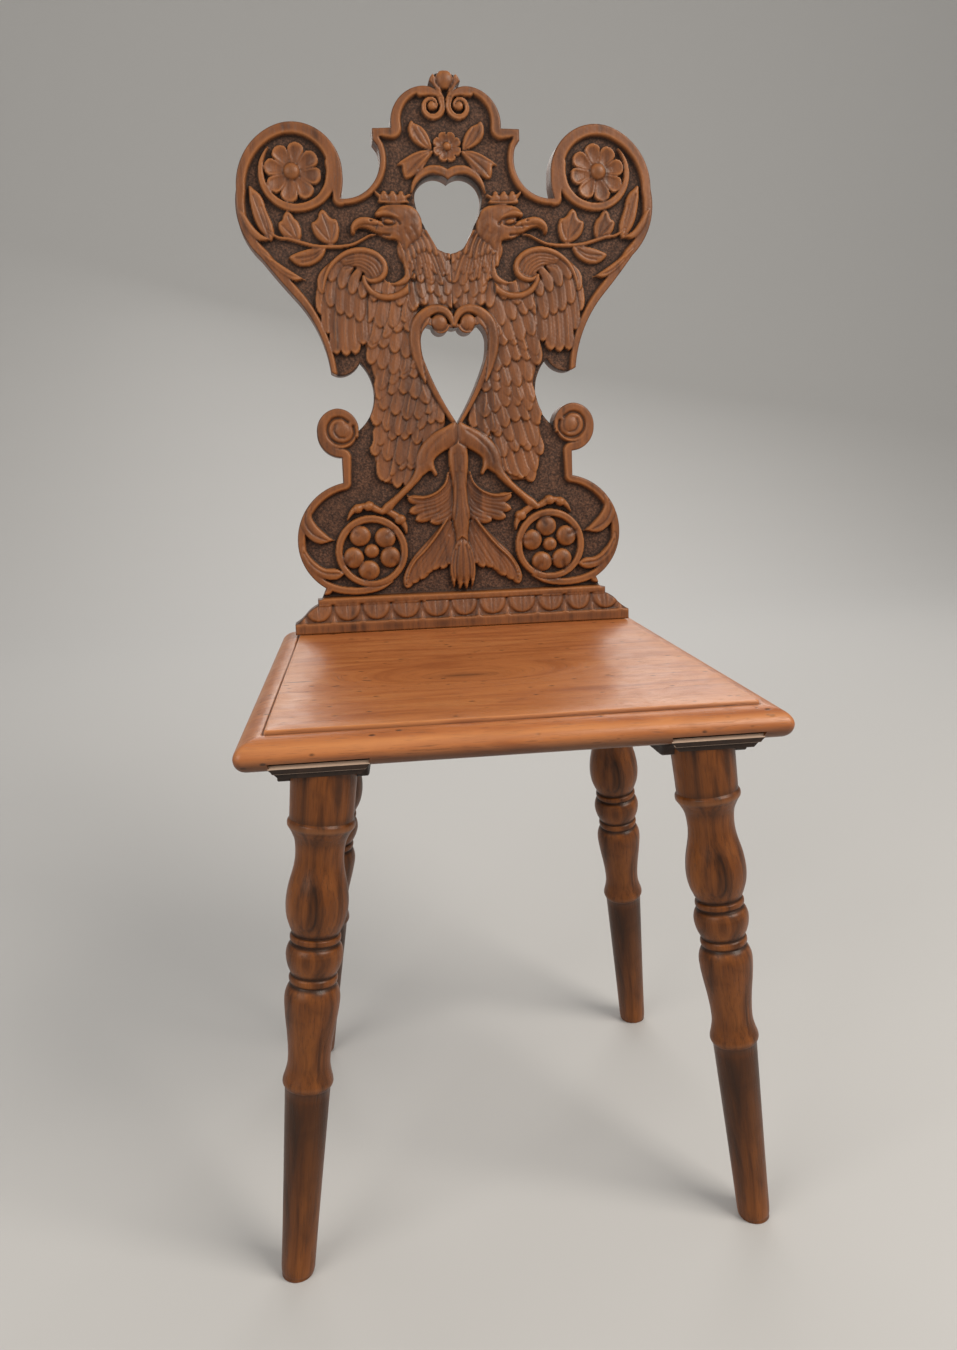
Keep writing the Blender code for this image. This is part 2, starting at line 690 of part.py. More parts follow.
def missed_heights(places, faces, across, up, wanted):
    """How far the flat triangles lie from the wanted heights of a net of places, and each one's triangle."""
    heights = relief(places[:, 0], places[:, 1])
    missed = np.zeros(wanted.shape)
    owner = np.full(wanted.shape, -1)
    for number, face in enumerate(faces):
        first, second, third = places[list(face)]
        low = np.minimum(np.minimum(first, second), third)
        high = np.maximum(np.maximum(first, second), third)
        columns = slice(np.searchsorted(across, low[0]), np.searchsorted(across, high[0], "right"))
        rows = slice(np.searchsorted(up, low[1]), np.searchsorted(up, high[1], "right"))
        u = across[columns][None, :] - first[0]
        v = up[rows][:, None] - first[1]
        run = second - first
        turn = third - first
        area = run[0] * turn[1] - run[1] * turn[0]
        to_second = (u * turn[1] - v * turn[0]) / area
        to_third = (v * run[0] - u * run[1]) / area
        within = (to_second >= 0) & (to_third >= 0) & (to_second + to_third <= 1)
        start, rise, lift = heights[face[0]], heights[face[1]] - heights[face[0]], heights[face[2]] - heights[face[0]]
        flat = start + to_second * rise + to_third * lift
        missed[rows, columns][within] = np.abs(flat - wanted[rows, columns])[within]
        owner[rows, columns][within] = number
    return missed, owner


def carved_half():
    """Triangles over the right half: the crisp lines, then the worst place of each triangle that misses most."""
    points, links = joined_lines()
    border = half_border()
    across = np.arange(0, BACK_HALF_WIDTH, RELIEF_NET)
    up = np.arange(outline_half[:, 1].min(), BACK_HEIGHT, RELIEF_NET)
    u, v = np.meshgrid(across, up)
    wanted = relief(u, v)
    free = on_wood(u + GAP, v) & ((u < GAP) | (u > RELIEF_SPACING))
    corners = [(border[k], border[(k + 1) % len(border)]) for k in range(len(border))]
    corners = [(a, b) for a, b in corners if max(a[0], b[0]) > GAP]
    for a, b in corners + [(points[a], points[b]) for a, b in links]:
        gap, _ = distance_to_path(u, v, np.array([a, b]), np.zeros(2))
        free &= gap > RELIEF_SPACING / 2
    places, faces = triangles(points, links)
    while len(faces) < HALF_FACE_TRIANGLES:
        missed, owner = missed_heights(places, faces, across, up, wanted)
        volumes = np.bincount(owner[owner >= 0], missed[owner >= 0], len(faces))
        order = np.argsort(-np.where(free, missed, 0), axis=None)
        named, first = np.unique(owner.ravel()[order], return_index=True)
        worst = dict(zip(named.tolist(), order[first].tolist()))
        room = min(len(faces) // 10, (HALF_FACE_TRIANGLES - len(faces)) // 2 + 1)
        added = []
        for triangle in np.argsort(-volumes):
            number = worst.get(int(triangle))
            if number is None or not free.flat[number]:
                continue
            place = np.array((u.flat[number], v.flat[number]))
            near = np.concatenate([places, np.array(added).reshape(-1, 2)]) - place
            if np.min(np.hypot(*near.T)) > RELIEF_SPACING:
                added.append(place)
            if len(added) == room:
                break
        if not added:
            break
        points = np.concatenate([points, np.array(added)])
        places, faces = triangles(points, links)
    return places, faces


def mirrored_face(places, faces):
    """Both halves from the right one: the places on the middle line are shared."""
    twin = np.arange(len(places))
    off_middle = places[:, 0] > 0
    twin[off_middle] = len(places) + np.arange(off_middle.sum())
    left = [tuple(int(twin[k]) for k in reversed(face)) for face in faces]
    return np.concatenate([places, places[off_middle] * np.array([-1, 1])]), faces + left, twin


def carved_plank():
    """The plank in its own frame: X across, Z up its face, +Y towards its back."""
    border = half_border()
    front, front_faces, front_twin = mirrored_face(*carved_half())
    back, back_faces, back_twin = mirrored_face(*triangles([], []))
    depth = CARVING_DEPTH - relief(front[:, 0], front[:, 1])
    shape = bmesh.new()
    front_verts = [shape.verts.new((u, w, v)) for (u, v), w in zip(front, depth)]
    back_verts = [shape.verts.new((u, BACK_THICKNESS, v)) for u, v in back]
    for face in front_faces:
        shape.faces.new([front_verts[k] for k in face])
    for face in back_faces:
        shape.faces.new([back_verts[k] for k in reversed(face)])
    for here in range(len(border)):
        following = (here + 1) % len(border)
        if max(border[here][0], border[following][0]) > 0:
            ends = (front_verts[here], front_verts[following], back_verts[following], back_verts[here])
            shape.faces.new(ends)
            ends = (front_verts[front_twin[following]], front_verts[front_twin[here]], back_verts[back_twin[here]],
                    back_verts[back_twin[following]])
            shape.faces.new(ends)
    return mesh_of("backrest", shape)


def plank_matrix():
    """Where the plank's frame stands on the seat."""
    place = Vector((0, SEAT_DEPTH / 2 - BACK_SETBACK, SEAT_TOP))
    return Matrix.Translation(place) @ Matrix.Rotation(-BACK_LEAN, 4, "X")


def tenon_middle(side):
    """A back tenon's middle across the chair, over the middle of its batten."""
    drop = math.tan(BACK_LEAN) * (SEAT_TOP - batten_underside())
    return side * batten_middle(SEAT_DEPTH / 2 - BACK_SETBACK + BACK_THICKNESS / 2 - drop)


def tenon_box(name, side, spare, top, bottom):
    """A back tenon, or its mortise when spare is a clearance, as a box in the plank's frame."""
    middle = tenon_middle(side)
    half = BACK_TENON_WIDTH / 2 + spare
    front = (BACK_THICKNESS - BACK_TENON_THICKNESS) / 2 - spare
    rear = (BACK_THICKNESS + BACK_TENON_THICKNESS) / 2 + spare
    cutter = add_cutter(name, box_mesh(name, (middle - half, front, bottom), (middle + half, rear, top)))
    cutter.matrix_world = plank_matrix()
    return cutter


def batten_underside():
    return SEAT_TOP - SEAT_THICKNESS + BATTEN_LET_IN - BATTEN_HEIGHT


def key_outline(spare):
    """Side view of a key: flat on top against the batten, tapered below."""
    middle = SEAT_DEPTH / 2 - BACK_SETBACK + BACK_THICKNESS / 2
    middle -= math.tan(BACK_LEAN) * (SEAT_TOP - batten_underside() + KEY_HEIGHT / 2)
    front = middle - KEY_LENGTH / 2
    rear = middle + KEY_LENGTH / 2
    top = batten_underside() - GAP
    return ((front, top - KEY_HEIGHT - spare), (rear, top - KEY_TIP_HEIGHT - spare), (rear, top), (front, top))


def build_backrest():
    part = add_part("backrest", carved_plank(), "walnut_carved")
    part.matrix_world = plank_matrix()
    reach = SEAT_FRONT_WIDTH
    under = box_mesh("under_foot", (-reach, -reach, SEAT_TOP - OVERRUN), (reach, reach, SEAT_TOP + GAP))
    boolean(part, add_cutter("under_foot", under), "DIFFERENCE")
    length = (SEAT_TOP - batten_underside() + BACK_TENON_BELOW) / math.cos(BACK_LEAN)
    for side, word in ((-1, "left"), (1, "right")):
        tenon = tenon_box(f"back_tenon_{word}", side, 0, TENON_ROOT, -length)
        boolean(part, tenon, "UNION")
    for side, word in ((-1, "left"), (1, "right")):
        outline = list(key_outline(GAP))
        top = batten_underside() + GAP
        outline[2] = (outline[2][0], top)
        outline[3] = (outline[3][0], top)
        middle = tenon_middle(side)
        half = KEY_WIDTH / 2 + GAP
        slot = prism_mesh(f"key_slot_{word}", outline, "X", middle - half, middle + half)
        boolean(part, add_cutter(f"key_slot_{word}", slot), "DIFFERENCE")
    smooth(part)


def build_keys():
    for side, word in ((-1, "left"), (1, "right")):
        middle = tenon_middle(side)
        half = KEY_WIDTH / 2
        mesh = prism_mesh(f"key_{word}", key_outline(0), "X", middle - half, middle + half)
        add_part(f"key_{word}", mesh, "oak_dark")


def seat_ring(inset, height):
    """The seat's outline moved in by inset, with rounded corners, at a height."""
    half_front = SEAT_FRONT_WIDTH / 2
    half_rear = SEAT_REAR_WIDTH / 2
    front = -SEAT_DEPTH / 2
    slope = (half_front - half_rear) / SEAT_DEPTH
    slant = math.hypot(1, slope)
    near = half_front - inset * slant - slope * inset
    far = half_rear - inset * slant + slope * inset
    corners = ((-near, front + inset), (near, front + inset), (far, -front - inset), (-far, -front - inset))
    radius = max(SEAT_CORNER - inset / 2, SEAT_CORNER / 4)
    points = []
    for k, corner in enumerate(corners):
        before = Vector(corners[k - 1]) - Vector(corner)
        after = Vector(corners[(k + 1) % 4]) - Vector(corner)
        start = Vector(corner) + before.normalized() * radius
        end = Vector(corner) + after.normalized() * radius
        for part in range(4):
            share = part / 3
            first = start.lerp(Vector(corner), share)
            last = Vector(corner).lerp(end, share)
            points.append((*first.lerp(last, share), height))
    return points


def seat_levels():
    """Insets and heights of the seat's edge, from the underside up to the raised field."""
    bottom = SEAT_TOP - SEAT_THICKNESS
    top = SEAT_TOP - FIELD_STEP
    nose = bottom + (top - bottom) * 0.45
    levels = []
    for degrees in (-90, -60, -30, 0):
        turn = math.radians(degrees)
        levels.append((EDGE_UNDERCUT * (1 - math.cos(turn)), nose + (nose - bottom) * math.sin(turn)))
    for degrees in (20, 40, 60, 80):
        turn = math.radians(degrees)
        levels.append((EDGE_WIDTH * (1 - math.cos(turn)), nose + (top - nose) * math.sin(turn)))
    levels.append((EDGE_WIDTH, top))
    levels.append((EDGE_WIDTH + FIELD_STEP / 4, SEAT_TOP - FIELD_STEP / 4))
    levels.append((EDGE_WIDTH + FIELD_STEP / 2, SEAT_TOP))
    return levels


def leg_place(row):
    """Where the right leg of a row meets its batten: distance from the middle, and place from front to back."""
    if row == "front":
        return SEAT_FRONT_WIDTH / 2 - FRONT_LEG_INSET, -SEAT_DEPTH / 2 + FRONT_LEG_SETBACK
    return SEAT_REAR_WIDTH / 2 - REAR_LEG_INSET, SEAT_DEPTH / 2 - REAR_LEG_SETBACK


def batten_middle(along):
    """Distance of a batten's middle from the chair's, at a place from front to back."""
    near, front = leg_place("front")
    far, rear = leg_place("rear")
    return near + (far - near) * (along - front) / (rear - front)


def batten_run(name, side, spare, start, end):
    """The batten's section run along its slanted line: a dovetail let into the seat over a body."""
    under = batten_underside() - OVERRUN
    shoulder = SEAT_TOP - SEAT_THICKNESS
    top = shoulder + BATTEN_LET_IN + spare
    half = BATTEN_WIDTH / 2 + spare
    outline = ((-half, under), (half, under), (half, shoulder), (half + BATTEN_FLARE, top), (-half - BATTEN_FLARE, top),
               (-half, shoulder))
    mesh = prism_mesh(name, outline, "Y", start, end)
    for vertex in mesh.vertices:
        vertex.co.x += side * batten_middle(vertex.co.y)
    return mesh


def batten_side_view():
    """Side view of a batten: a thin lip in front, an ogee under it, a plain rear end."""
    top = SEAT_TOP - SEAT_THICKNESS + BATTEN_LET_IN
    under = batten_underside()
    front = -SEAT_DEPTH / 2 + BATTEN_FRONT_SETBACK
    rear = SEAT_DEPTH / 2 - BATTEN_REAR_SETBACK
    drop = top - BATTEN_LIP - under
    outline = [(front, top), (front, top - BATTEN_LIP)]
    for along_share, down_share in ((0.18, 0.04), (0.26, 0.30), (0.48, 0.46), (0.58, 0.58), (0.62, 0.86), (1, 1)):
        outline.append((front + BATTEN_NOSE * along_share, top - BATTEN_LIP - drop * down_share))
    outline += [(rear, under), (rear, top)]
    return outline


def leg_ends(side, row):
    """Where a leg's axis meets the batten's underside and the floor."""
    across, along = leg_place(row)
    away = -SPLAY_AWAY if row == "front" else SPLAY_AWAY
    return Vector((side * across, along, batten_underside())), Vector((side * (across + SPLAY_SIDE), along + away, 0))


def leg_matrix(top, foot):
    """A frame at the foot whose Z runs up the leg's axis and whose X stays across the chair."""
    up = (top - foot).normalized()
    across = (Vector((1, 0, 0)) - up * up.x).normalized()
    turn = Matrix((across, up.cross(across), up)).transposed().to_4x4()
    return Matrix.Translation(foot) @ turn


def turned_mesh(name, profile, steps):
    """A profile of (radius, height) points, from the top down, turned about Z."""
    line = bpy.data.meshes.new(name)
    line.from_pydata([(radius, 0, height) for radius, height in profile],
                     [(k, k + 1) for k in range(len(profile) - 1)], [])
    holder = add_cutter(name, line)
    screw = holder.modifiers.new("turning", "SCREW")
    screw.axis = "Z"
    screw.steps = steps
    screw.render_steps = steps
    screw.use_merge_vertices = True
    screw.merge_threshold = 0.00001
    bpy.context.view_layer.update()
    mesh = bpy.data.meshes.new_from_object(holder.evaluated_get(bpy.context.evaluated_depsgraph_get()))
    bpy.data.objects.remove(holder, do_unlink=True)
    return mesh


def leg_profile(length):
    profile = [(0, length + OVERRUN), (LEG_PROFILE_shares[0][1] * LEG_DIAMETER / 2, length + OVERRUN)]
    for down_share, width_share in LEG_PROFILE_shares[1:]:
        profile.append((width_share * LEG_DIAMETER / 2, length * (1 - down_share)))
    foot = LEG_FOOT_share * LEG_DIAMETER / 2
    profile.append((foot, LEG_FOOT_ROUND))
    profile.append((foot - LEG_FOOT_ROUND / 4, LEG_FOOT_ROUND / 4))
    profile.append((foot - LEG_FOOT_ROUND, -LEG_FOOT_ROUND))
    profile.append((0, -LEG_FOOT_ROUND))
    return profile


def wedge_prism(name, spare, length, reach):
    """A wedge for a leg tenon's kerf, point down, in the leg's frame."""
    top = length + reach
    tip = top - WEDGE_DEPTH
    thick = WEDGE_THICKNESS / 2 + spare
    thin = WEDGE_TIP / 2 + spare
    outline = ((-thin, tip - spare), (thin, tip - spare), (thick, top), (-thick, top))
    half = LEG_TENON_DIAMETER / 2 - OVERRUN / 10 if not spare else LEG_TENON_DIAMETER
    return prism_mesh(name, outline, "X", -half, half)


def slab(name, bottom, top):
    """A wide level slab used to trim what stands between two heights."""
    reach = SEAT_FRONT_WIDTH
    return add_cutter(name, box_mesh(name, (-reach, -reach, bottom), (reach, reach, top)))


def build_legs():
    under = batten_underside()
    tenon_top = under + BATTEN_HEIGHT - GAP
    body_slab = slab("leg_body_trim", 0, under - GAP)
    tenon_slab = slab("leg_tenon_trim", under - OVERRUN, tenon_top)
    holes = {}
    for row in ("front", "rear"):
        for side, word in ((-1, "left"), (1, "right")):
            top, foot = leg_ends(side, row)
            length = (top - foot).length
            reach = (tenon_top - under) / (top - foot).normalized().z
            frame = leg_matrix(top, foot)
            name = f"{row}_{word}"
            leg = add_part(f"leg_{name}", turned_mesh(f"leg_{name}", leg_profile(length), LEG_STEPS), "walnut_turned")
            leg.matrix_world = frame
            boolean(leg, body_slab, "INTERSECT")
            radius = LEG_TENON_DIAMETER / 2
            pin = [(0, length + 2 * OVERRUN), (radius, length + 2 * OVERRUN), (radius, length - OVERRUN / 2),
                   (0, length - OVERRUN / 2)]
            tenon = add_cutter(f"tenon_{name}", turned_mesh(f"tenon_{name}", pin, LEG_STEPS))
            tenon.matrix_world = frame
            boolean(tenon, tenon_slab, "INTERSECT")
            boolean(leg, tenon, "UNION")
            kerf = add_cutter(f"kerf_{name}", wedge_prism(f"kerf_{name}", GAP, length, reach + OVERRUN / 4))
            kerf.matrix_world = frame
            boolean(leg, kerf, "DIFFERENCE")
            wedge = add_part(f"wedge_{name}", wedge_prism(f"wedge_{name}", 0, length, reach + OVERRUN / 4), "oak_dark")
            wedge.matrix_world = frame
            boolean(wedge, tenon_slab, "INTERSECT")
            hole = [(0, length + 2 * OVERRUN), (radius + GAP, length + 2 * OVERRUN), (radius + GAP, length - OVERRUN),
                    (0, length - OVERRUN)]
            holes[name] = add_cutter(f"hole_{name}", turned_mesh(f"hole_{name}", hole, LEG_STEPS))
            holes[name].matrix_world = frame
            smooth(leg)
    return holes


def build_battens(holes):
    side_view = batten_side_view()
    reach = SEAT_FRONT_WIDTH / 2
    for side, word in ((-1, "left"), (1, "right")):
        name = f"{word}_batten"
        run = batten_run(name, side, 0, -SEAT_DEPTH / 2 - OVERRUN, SEAT_DEPTH / 2 + OVERRUN)
        part = add_part(name, run, "oak_dark")
        profile = prism_mesh(f"{name}_profile", side_view, "X", -reach, reach)
        boolean(part, add_cutter(f"{name}_profile", profile), "INTERSECT")
        for row in ("front", "rear"):
            boolean(part, holes[f"{row}_{word}"], "DIFFERENCE")
        length = 2 * (SEAT_TOP - batten_underside())
        boolean(part, tenon_box(f"batten_mortise_{word}", side, GAP, TENON_ROOT, -length), "DIFFERENCE")


def build_seat():
    shape = bmesh.new()
    rings = [[shape.verts.new(point) for point in seat_ring(*level)] for level in seat_levels()]
    for lower, upper in zip(rings, rings[1:]):
        for k in range(len(lower)):
            following = (k + 1) % len(lower)
            shape.faces.new((lower[k], lower[following], upper[following], upper[k]))
    shape.faces.new(list(reversed(rings[0])))
    shape.faces.new(rings[-1])
    part = add_part("seat_board", mesh_of("seat_board", shape), "walnut_seat")
    reach = SEAT_DEPTH / 2 + OVERRUN
    for side, word in ((-1, "left"), (1, "right")):
        groove = batten_run(f"groove_{word}", side, GAP, -reach, reach)
        boolean(part, add_cutter(f"groove_{word}", groove), "DIFFERENCE")
        mortise = tenon_box(f"seat_mortise_{word}", side, GAP, TENON_ROOT, -2 * SEAT_THICKNESS)
        boolean(part, mortise, "DIFFERENCE")
    smooth(part)


def smooth(part):
    """Smooth shading with the real edges kept sharp."""
    part.data.shade_smooth()
    part.data.set_sharp_from_angle(angle=math.radians(35))


def stand_over_origin():
    """Moves the chair so that the middle of its footprint box is the origin."""
    bpy.context.view_layer.update()
    graph = bpy.context.evaluated_depsgraph_get()
    reach = []
    for part in collections[PARTS].objects:
        evaluated = part.evaluated_get(graph)
        mesh = evaluated.to_mesh()
        reach += [(evaluated.matrix_world @ vertex.co).y for vertex in mesh.vertices]
        evaluated.to_mesh_clear()
    shift = Matrix.Translation((0, -(min(reach) + max(reach)) / 2, 0))
    for name in (PARTS, CUTTERS):
        for thing in collections[name].objects:
            thing.matrix_world = shift @ thing.matrix_world


collections = clear_scene()
outline_half, outline_rims = half_path(OUTLINE_shares)
lower_heart_half, _ = half_path(LOWER_HEART_shares)
upper_heart_half, _ = half_path(UPPER_HEART_shares)
loops = [mirrored_loop(half) for half in (outline_half, lower_heart_half, upper_heart_half)]
build_battens(build_legs())
build_seat()
build_backrest()
build_keys()
stand_over_origin()
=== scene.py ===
"""The carved chair as it is seen: fine carving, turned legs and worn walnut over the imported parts."""

import math

import bmesh
import bpy
import numpy as np
from mathutils import Matrix, Vector
from mathutils.geometry import delaunay_2d_cdt


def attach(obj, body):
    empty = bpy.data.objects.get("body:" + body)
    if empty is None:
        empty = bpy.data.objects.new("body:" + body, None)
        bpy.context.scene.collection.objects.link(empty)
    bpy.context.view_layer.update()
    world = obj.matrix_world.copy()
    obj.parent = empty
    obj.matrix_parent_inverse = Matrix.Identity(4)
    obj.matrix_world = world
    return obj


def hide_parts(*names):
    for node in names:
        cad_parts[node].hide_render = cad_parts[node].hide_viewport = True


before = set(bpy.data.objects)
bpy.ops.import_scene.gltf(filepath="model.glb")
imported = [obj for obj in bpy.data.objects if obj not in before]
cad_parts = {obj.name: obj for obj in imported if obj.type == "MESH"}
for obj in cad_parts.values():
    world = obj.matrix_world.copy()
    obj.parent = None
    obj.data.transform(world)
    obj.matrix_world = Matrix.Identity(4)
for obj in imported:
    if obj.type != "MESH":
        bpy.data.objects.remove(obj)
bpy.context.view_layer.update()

MM = 0.001

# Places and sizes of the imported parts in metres, but the plank's thickness and the gaps in millimetres
CHAIR_SHIFT = -0.00488
SEAT_TOP = 0.455
SEAT_DEPTH = 0.386
BACK_SETBACK = 0.0465
BACK_LEAN = 0.108
BACK_THICKNESS = 24
GAP = 0.3

SEAT_THICKNESS = 0.027
SEAT_FRONT_HALF = 0.2165
SEAT_REAR_HALF = 0.1895
SEAT_SLOPE = (SEAT_FRONT_HALF - SEAT_REAR_HALF) / SEAT_DEPTH
SEAT_CORNER = 0.008
CORNER_STEPS = 8
SEAT_EDGE = 0.021
SEAT_UNDERCUT = 0.009
SEAT_NOSE_SHARE = 0.45
GROOVE_OVERRUN = 0.005
FIELD_STEP = 0.003
UNDER_BATTEN = 0.411
TENON_TOP = 0.4347
BATTEN_WIDTH = 0.070
BATTEN_LET_IN = 0.007
BATTEN_FLARE = 0.0025
BATTEN_LIP = 0.004
BATTEN_NOSE = 0.025
BATTEN_FRONT_SETBACK = 0.0095
BATTEN_REAR_SETBACK = 0.010
BATTEN_LIP_FORWARD = 0.0075
BATTEN_NOSE_INSET = 0.004
BATTEN_EASE = 0.0008
FRONT_LEG_ACROSS = 0.151
FRONT_LEG_ALONG = -0.163
REAR_LEG_ACROSS = 0.1305
REAR_LEG_ALONG = 0.0635
LEG_SPLAY_SIDE = 0.0447
LEG_SPLAY_AWAY = 0.0427
LEG_DIAMETER = 0.0527
LEG_COPE_TOP = 0.422
TENON_WIDTH = 0.046
TENON_THICKNESS = 0.018
TENON_BELOW = 0.030
TENON_ABOVE = 0.008
TENON_EASE = 0.001
LEG_STEPS = 72

# Marks on the seat's top
SEAT_KNOT = (-0.0254, -0.0512, SEAT_TOP)
SEAT_KNOT_REACH = 0.030
SEAT_CRACK = (-0.170, -0.043, SEAT_TOP)
SEAT_WEAR = (0.01, -0.07, SEAT_TOP)

# Each mark's place, reach along each axis, turn, strength and colour
SEAT_MARKS = (
    (SEAT_KNOT, (0.045, 0.012, 1), 0.0, 0.6, "#6e3c22"),
    (SEAT_KNOT, (0.023, 0.0036, 1), 0.08, 0.85, "#3a2013"),
    (SEAT_CRACK, (0.019, 0.0016, 1), 0.12, 0.9, "#2a170d"),
    (SEAT_WEAR, (0.14, 0.085, 1), 0.0, 0.25, "#c07b48"),
)

# Spacing of the seat's small pits, and of the groups in which they come
PIT_PITCH_MM = 8
PIT_GROUP_MM = 20

# Patterns of the walnut: how far each is drawn out along the grain, its width in millimetres, and the
# noise's detail, roughness and distortion. Real pores are 0.2 mm wide and growth lines 1 to 2 mm apart;
# both are drawn coarser here, so that they show
WOOD_PATTERNS = {
    "bands": (0.13, 15, 4, 0.5, 0.9),
    "lines": (0.05, 2.6, 5, 0.6, 0.4),
    "pores": (0.05, 0.8, 2, 0.5, 0),
    "stains": (1, 38, 4, 0.6, 0.6),
}

# Depth of the grain, and widths of the blotches and punch marks on the sunk ground
GRAIN_RELIEF_MM = 0.3
BLOTCH_MM = 2.2
PUNCH_MM = 1.7

# Colour of what stands high on each piece: partly edges that hands and clothes have rubbed, partly a
# painted highlight
WORN_AND_HIGHLIGHTED = {"back": "#a06534", "seat": "#d2905a", "leg": "#8a5c3c", "batten": "#d8bda8", "tenon": "#4a3424"}

# Turned leg: curves of (share of the length from the batten down, share of the greatest diameter);
# the turner's tool left a crease between one curve and the next
LEG_CURVES = (
    ((0.0005, 0.968), (0.04, 0.952), (0.0735, 0.94)),
    ((0.0745, 0.952), (0.078, 0.99), (0.0825, 1.0), (0.087, 0.992), (0.0905, 0.96)),
    ((0.0915, 0.945), (0.102, 0.85), (0.118, 0.752), (0.145, 0.716), (0.17, 0.755), (0.205, 0.88),
     (0.236, 0.93), (0.262, 0.892), (0.282, 0.79), (0.293, 0.712)),
    ((0.2945, 0.692), (0.297, 0.688)),
    ((0.298, 0.72), (0.3, 0.752), (0.304, 0.76), (0.308, 0.752), (0.31, 0.722)),
    ((0.311, 0.69), (0.3135, 0.69)),
    ((0.3145, 0.71), (0.321, 0.8), (0.334, 0.85), (0.348, 0.835), (0.362, 0.775), (0.3735, 0.69)),
    ((0.3745, 0.67), (0.377, 0.668)),
    ((0.378, 0.695), (0.381, 0.722), (0.385, 0.73), (0.389, 0.722), (0.392, 0.695)),
    ((0.393, 0.668), (0.395, 0.67)),
    ((0.3965, 0.69), (0.404, 0.765), (0.417, 0.825), (0.432, 0.832), (0.46, 0.79), (0.5, 0.7),
     (0.532, 0.65), (0.556, 0.645), (0.574, 0.695), (0.587, 0.752), (0.5935, 0.768)),
    ((0.595, 0.768), (0.6, 0.745), (0.604, 0.7)),
    ((0.605, 0.69), (0.7, 0.645), (0.8, 0.597), (0.9, 0.553), (0.985, 0.522)),
    ((0.986, 0.52), (0.9925, 0.51), (0.997, 0.49)),
)
# Other widths of a leg as shares of its diameter, and what gives its beads wear and a painted highlight
# and its coves painted shade
LEG_FOOT_SHARE = 0.49
LEG_TENON_SHARE = 0.53
LEG_SHOULDER_SHARE = 0.9
LEG_MARK_REACH = 0.016
LEG_MARK_SPAN = 0.04
LEG_WEAR_AND_HIGHLIGHT_FROM = 0.025
LEG_PAINTED_SHADE_FROM = 0.004

# Worn lip of a batten in millimetres: how far behind its front, the underside below the lip's height, the
# upper side below the top, and 1 where the wood is painted pale as bare wear and a highlight
BATTEN_LIP_MM = ((0, 4, 4.5, 0), (0.1, 4.3, 4.4, 1), (2.5, 4.6, 2, 1), (2.6, 4.6, 2, 0), (3, 4.8, 2, 0))
BATTEN_LIP_END_MM = (3.1, 2)
# Side view of a batten's nose in shares: back from the front, down from the lip to the underside
BATTEN_NOSE_CURVE = (
    (0.16, 0.02), (0.2, 0.2), (0.27, 0.32), (0.45, 0.46), (0.56, 0.58), (0.6, 0.78), (0.64, 0.9),
    (0.8, 0.98), (1, 1),
)

# Edge of the seat's field in millimetres: how far inside the moulded edge, and how far under the top
SEAT_QUIRK_MM = (
    (-1.2, 3.2), (-0.4, 3.8), (0.2, 3.6), (0.5, 2.8), (0.9, 0.9), (1.5, 0.25), (2.6, 0), (20, 0),
)
# How far the seat's nose is painted pale (wear, highlight) and its underside dark (painted shade), and from
# which height
NOSE_WEAR_AND_HIGHLIGHT = 0.7
NOSE_WEAR_AND_HIGHLIGHT_LOW = 0.4395
UNDER_PAINTED_SHADE = 0.85
UNDER_PAINTED_SHADE_HIGH = 0.441

# The plank and its carving in millimetres: the fine grid of its face, the depth of the work, the wear of
# its edges, and the rounds of averaging that tell a crest (wear, painted highlight) from a hollow (painted
# shade)
PLANK_HALF = 205
PLANK_HEIGHT = 541
GRID_PITCH = 0.9
GRID_START = 0.8
GRID_CLEARANCE = 0.55
EDGE_PITCH = 1.1
RIM_PITCH = 4
BORDER_PITCH = 3
EDGE_REACH = 3
FAR_FROM_EDGE = 9.0
CARVING_DEPTH = 6
GROUND_LOWEST = -0.8
RELIEF_HIGHEST = 10.45
EDGE_WEAR = 1.3
HAND_WANDER = 0.5
FOOT_BAND = 10
WEAR_ROUNDS = 14
CREST_SPAN = 1.1
HOLLOW_FROM = 0.15
HOLLOW_SPAN = 1.5
SAME_PLACE = 1e-5
HAIR = 0.01

# Right half of the plank's outline in millimetres from its foot: place, bulge of the arc to the
# next point and width of the flat rim along it
OUTLINE_MM = (
    (174.5, 0, 0, 0),
    (174.5, 10.5, -0.10, 0),
    (163, 19.5, 0.12, 0),
    (150.3, 28.8, 0, 0),
    (150.3, 34.6, 0, 0),
    (146, 34.6, 0, 0),
    (141, 45.8, 0.26, 7),
    (167, 93, 0.364, 8),
    (118, 151.5, 0, 7.5),
    (118, 176.5, 0.414, 9),
    (141.6, 201, 0.414, 9),
    (120.5, 224.8, 0.414, 8),
    (99.7, 203, -0.45, 0),
    (95, 269.8, 0.20, 0),
    (109, 257.8, 0.25, 0),
    (124, 260, -0.154, 6),
    (153.5, 330, 0.02, 8),
    (185.5, 369, 0.27, 9),
    (205, 432, 0.3125, 9),
    (165.6, 490.4, 0.532, 10.5),
    (102.8, 447, 0.10, 13.5),
    (106, 423.5, -0.543, 6),
    (68, 472, 0, 6),
    (72.2, 477.5, 0, 7),
    (72.2, 488, 0, 7),
    (54, 488.6, 0.435, 10),
    (21, 527, 0.15, 6),
    (9, 523.5, -0.15, 0),
    (15.3, 531, 0.38, 0),
    (0, 541, 0, 0),
)
LOWER_HEART_MM = (
    (0, 206.5, 0.06),
    (31.5, 270.5, 0.06),
    (33.5, 286, 0.25),
    (26, 304, 0),
    (21.5, 302.5, -0.767),
    (4.5, 301, 0),
    (0, 300, 0),
)
UPPER_HEART_MM = (
    (0, 372, 0.15),
    (13.2, 377.3, 0.05),
    (25.3, 400, 0.10),
    (33.3, 422, 0.42),
    (14, 446, 0.20),
    (0, 441, 0),
)


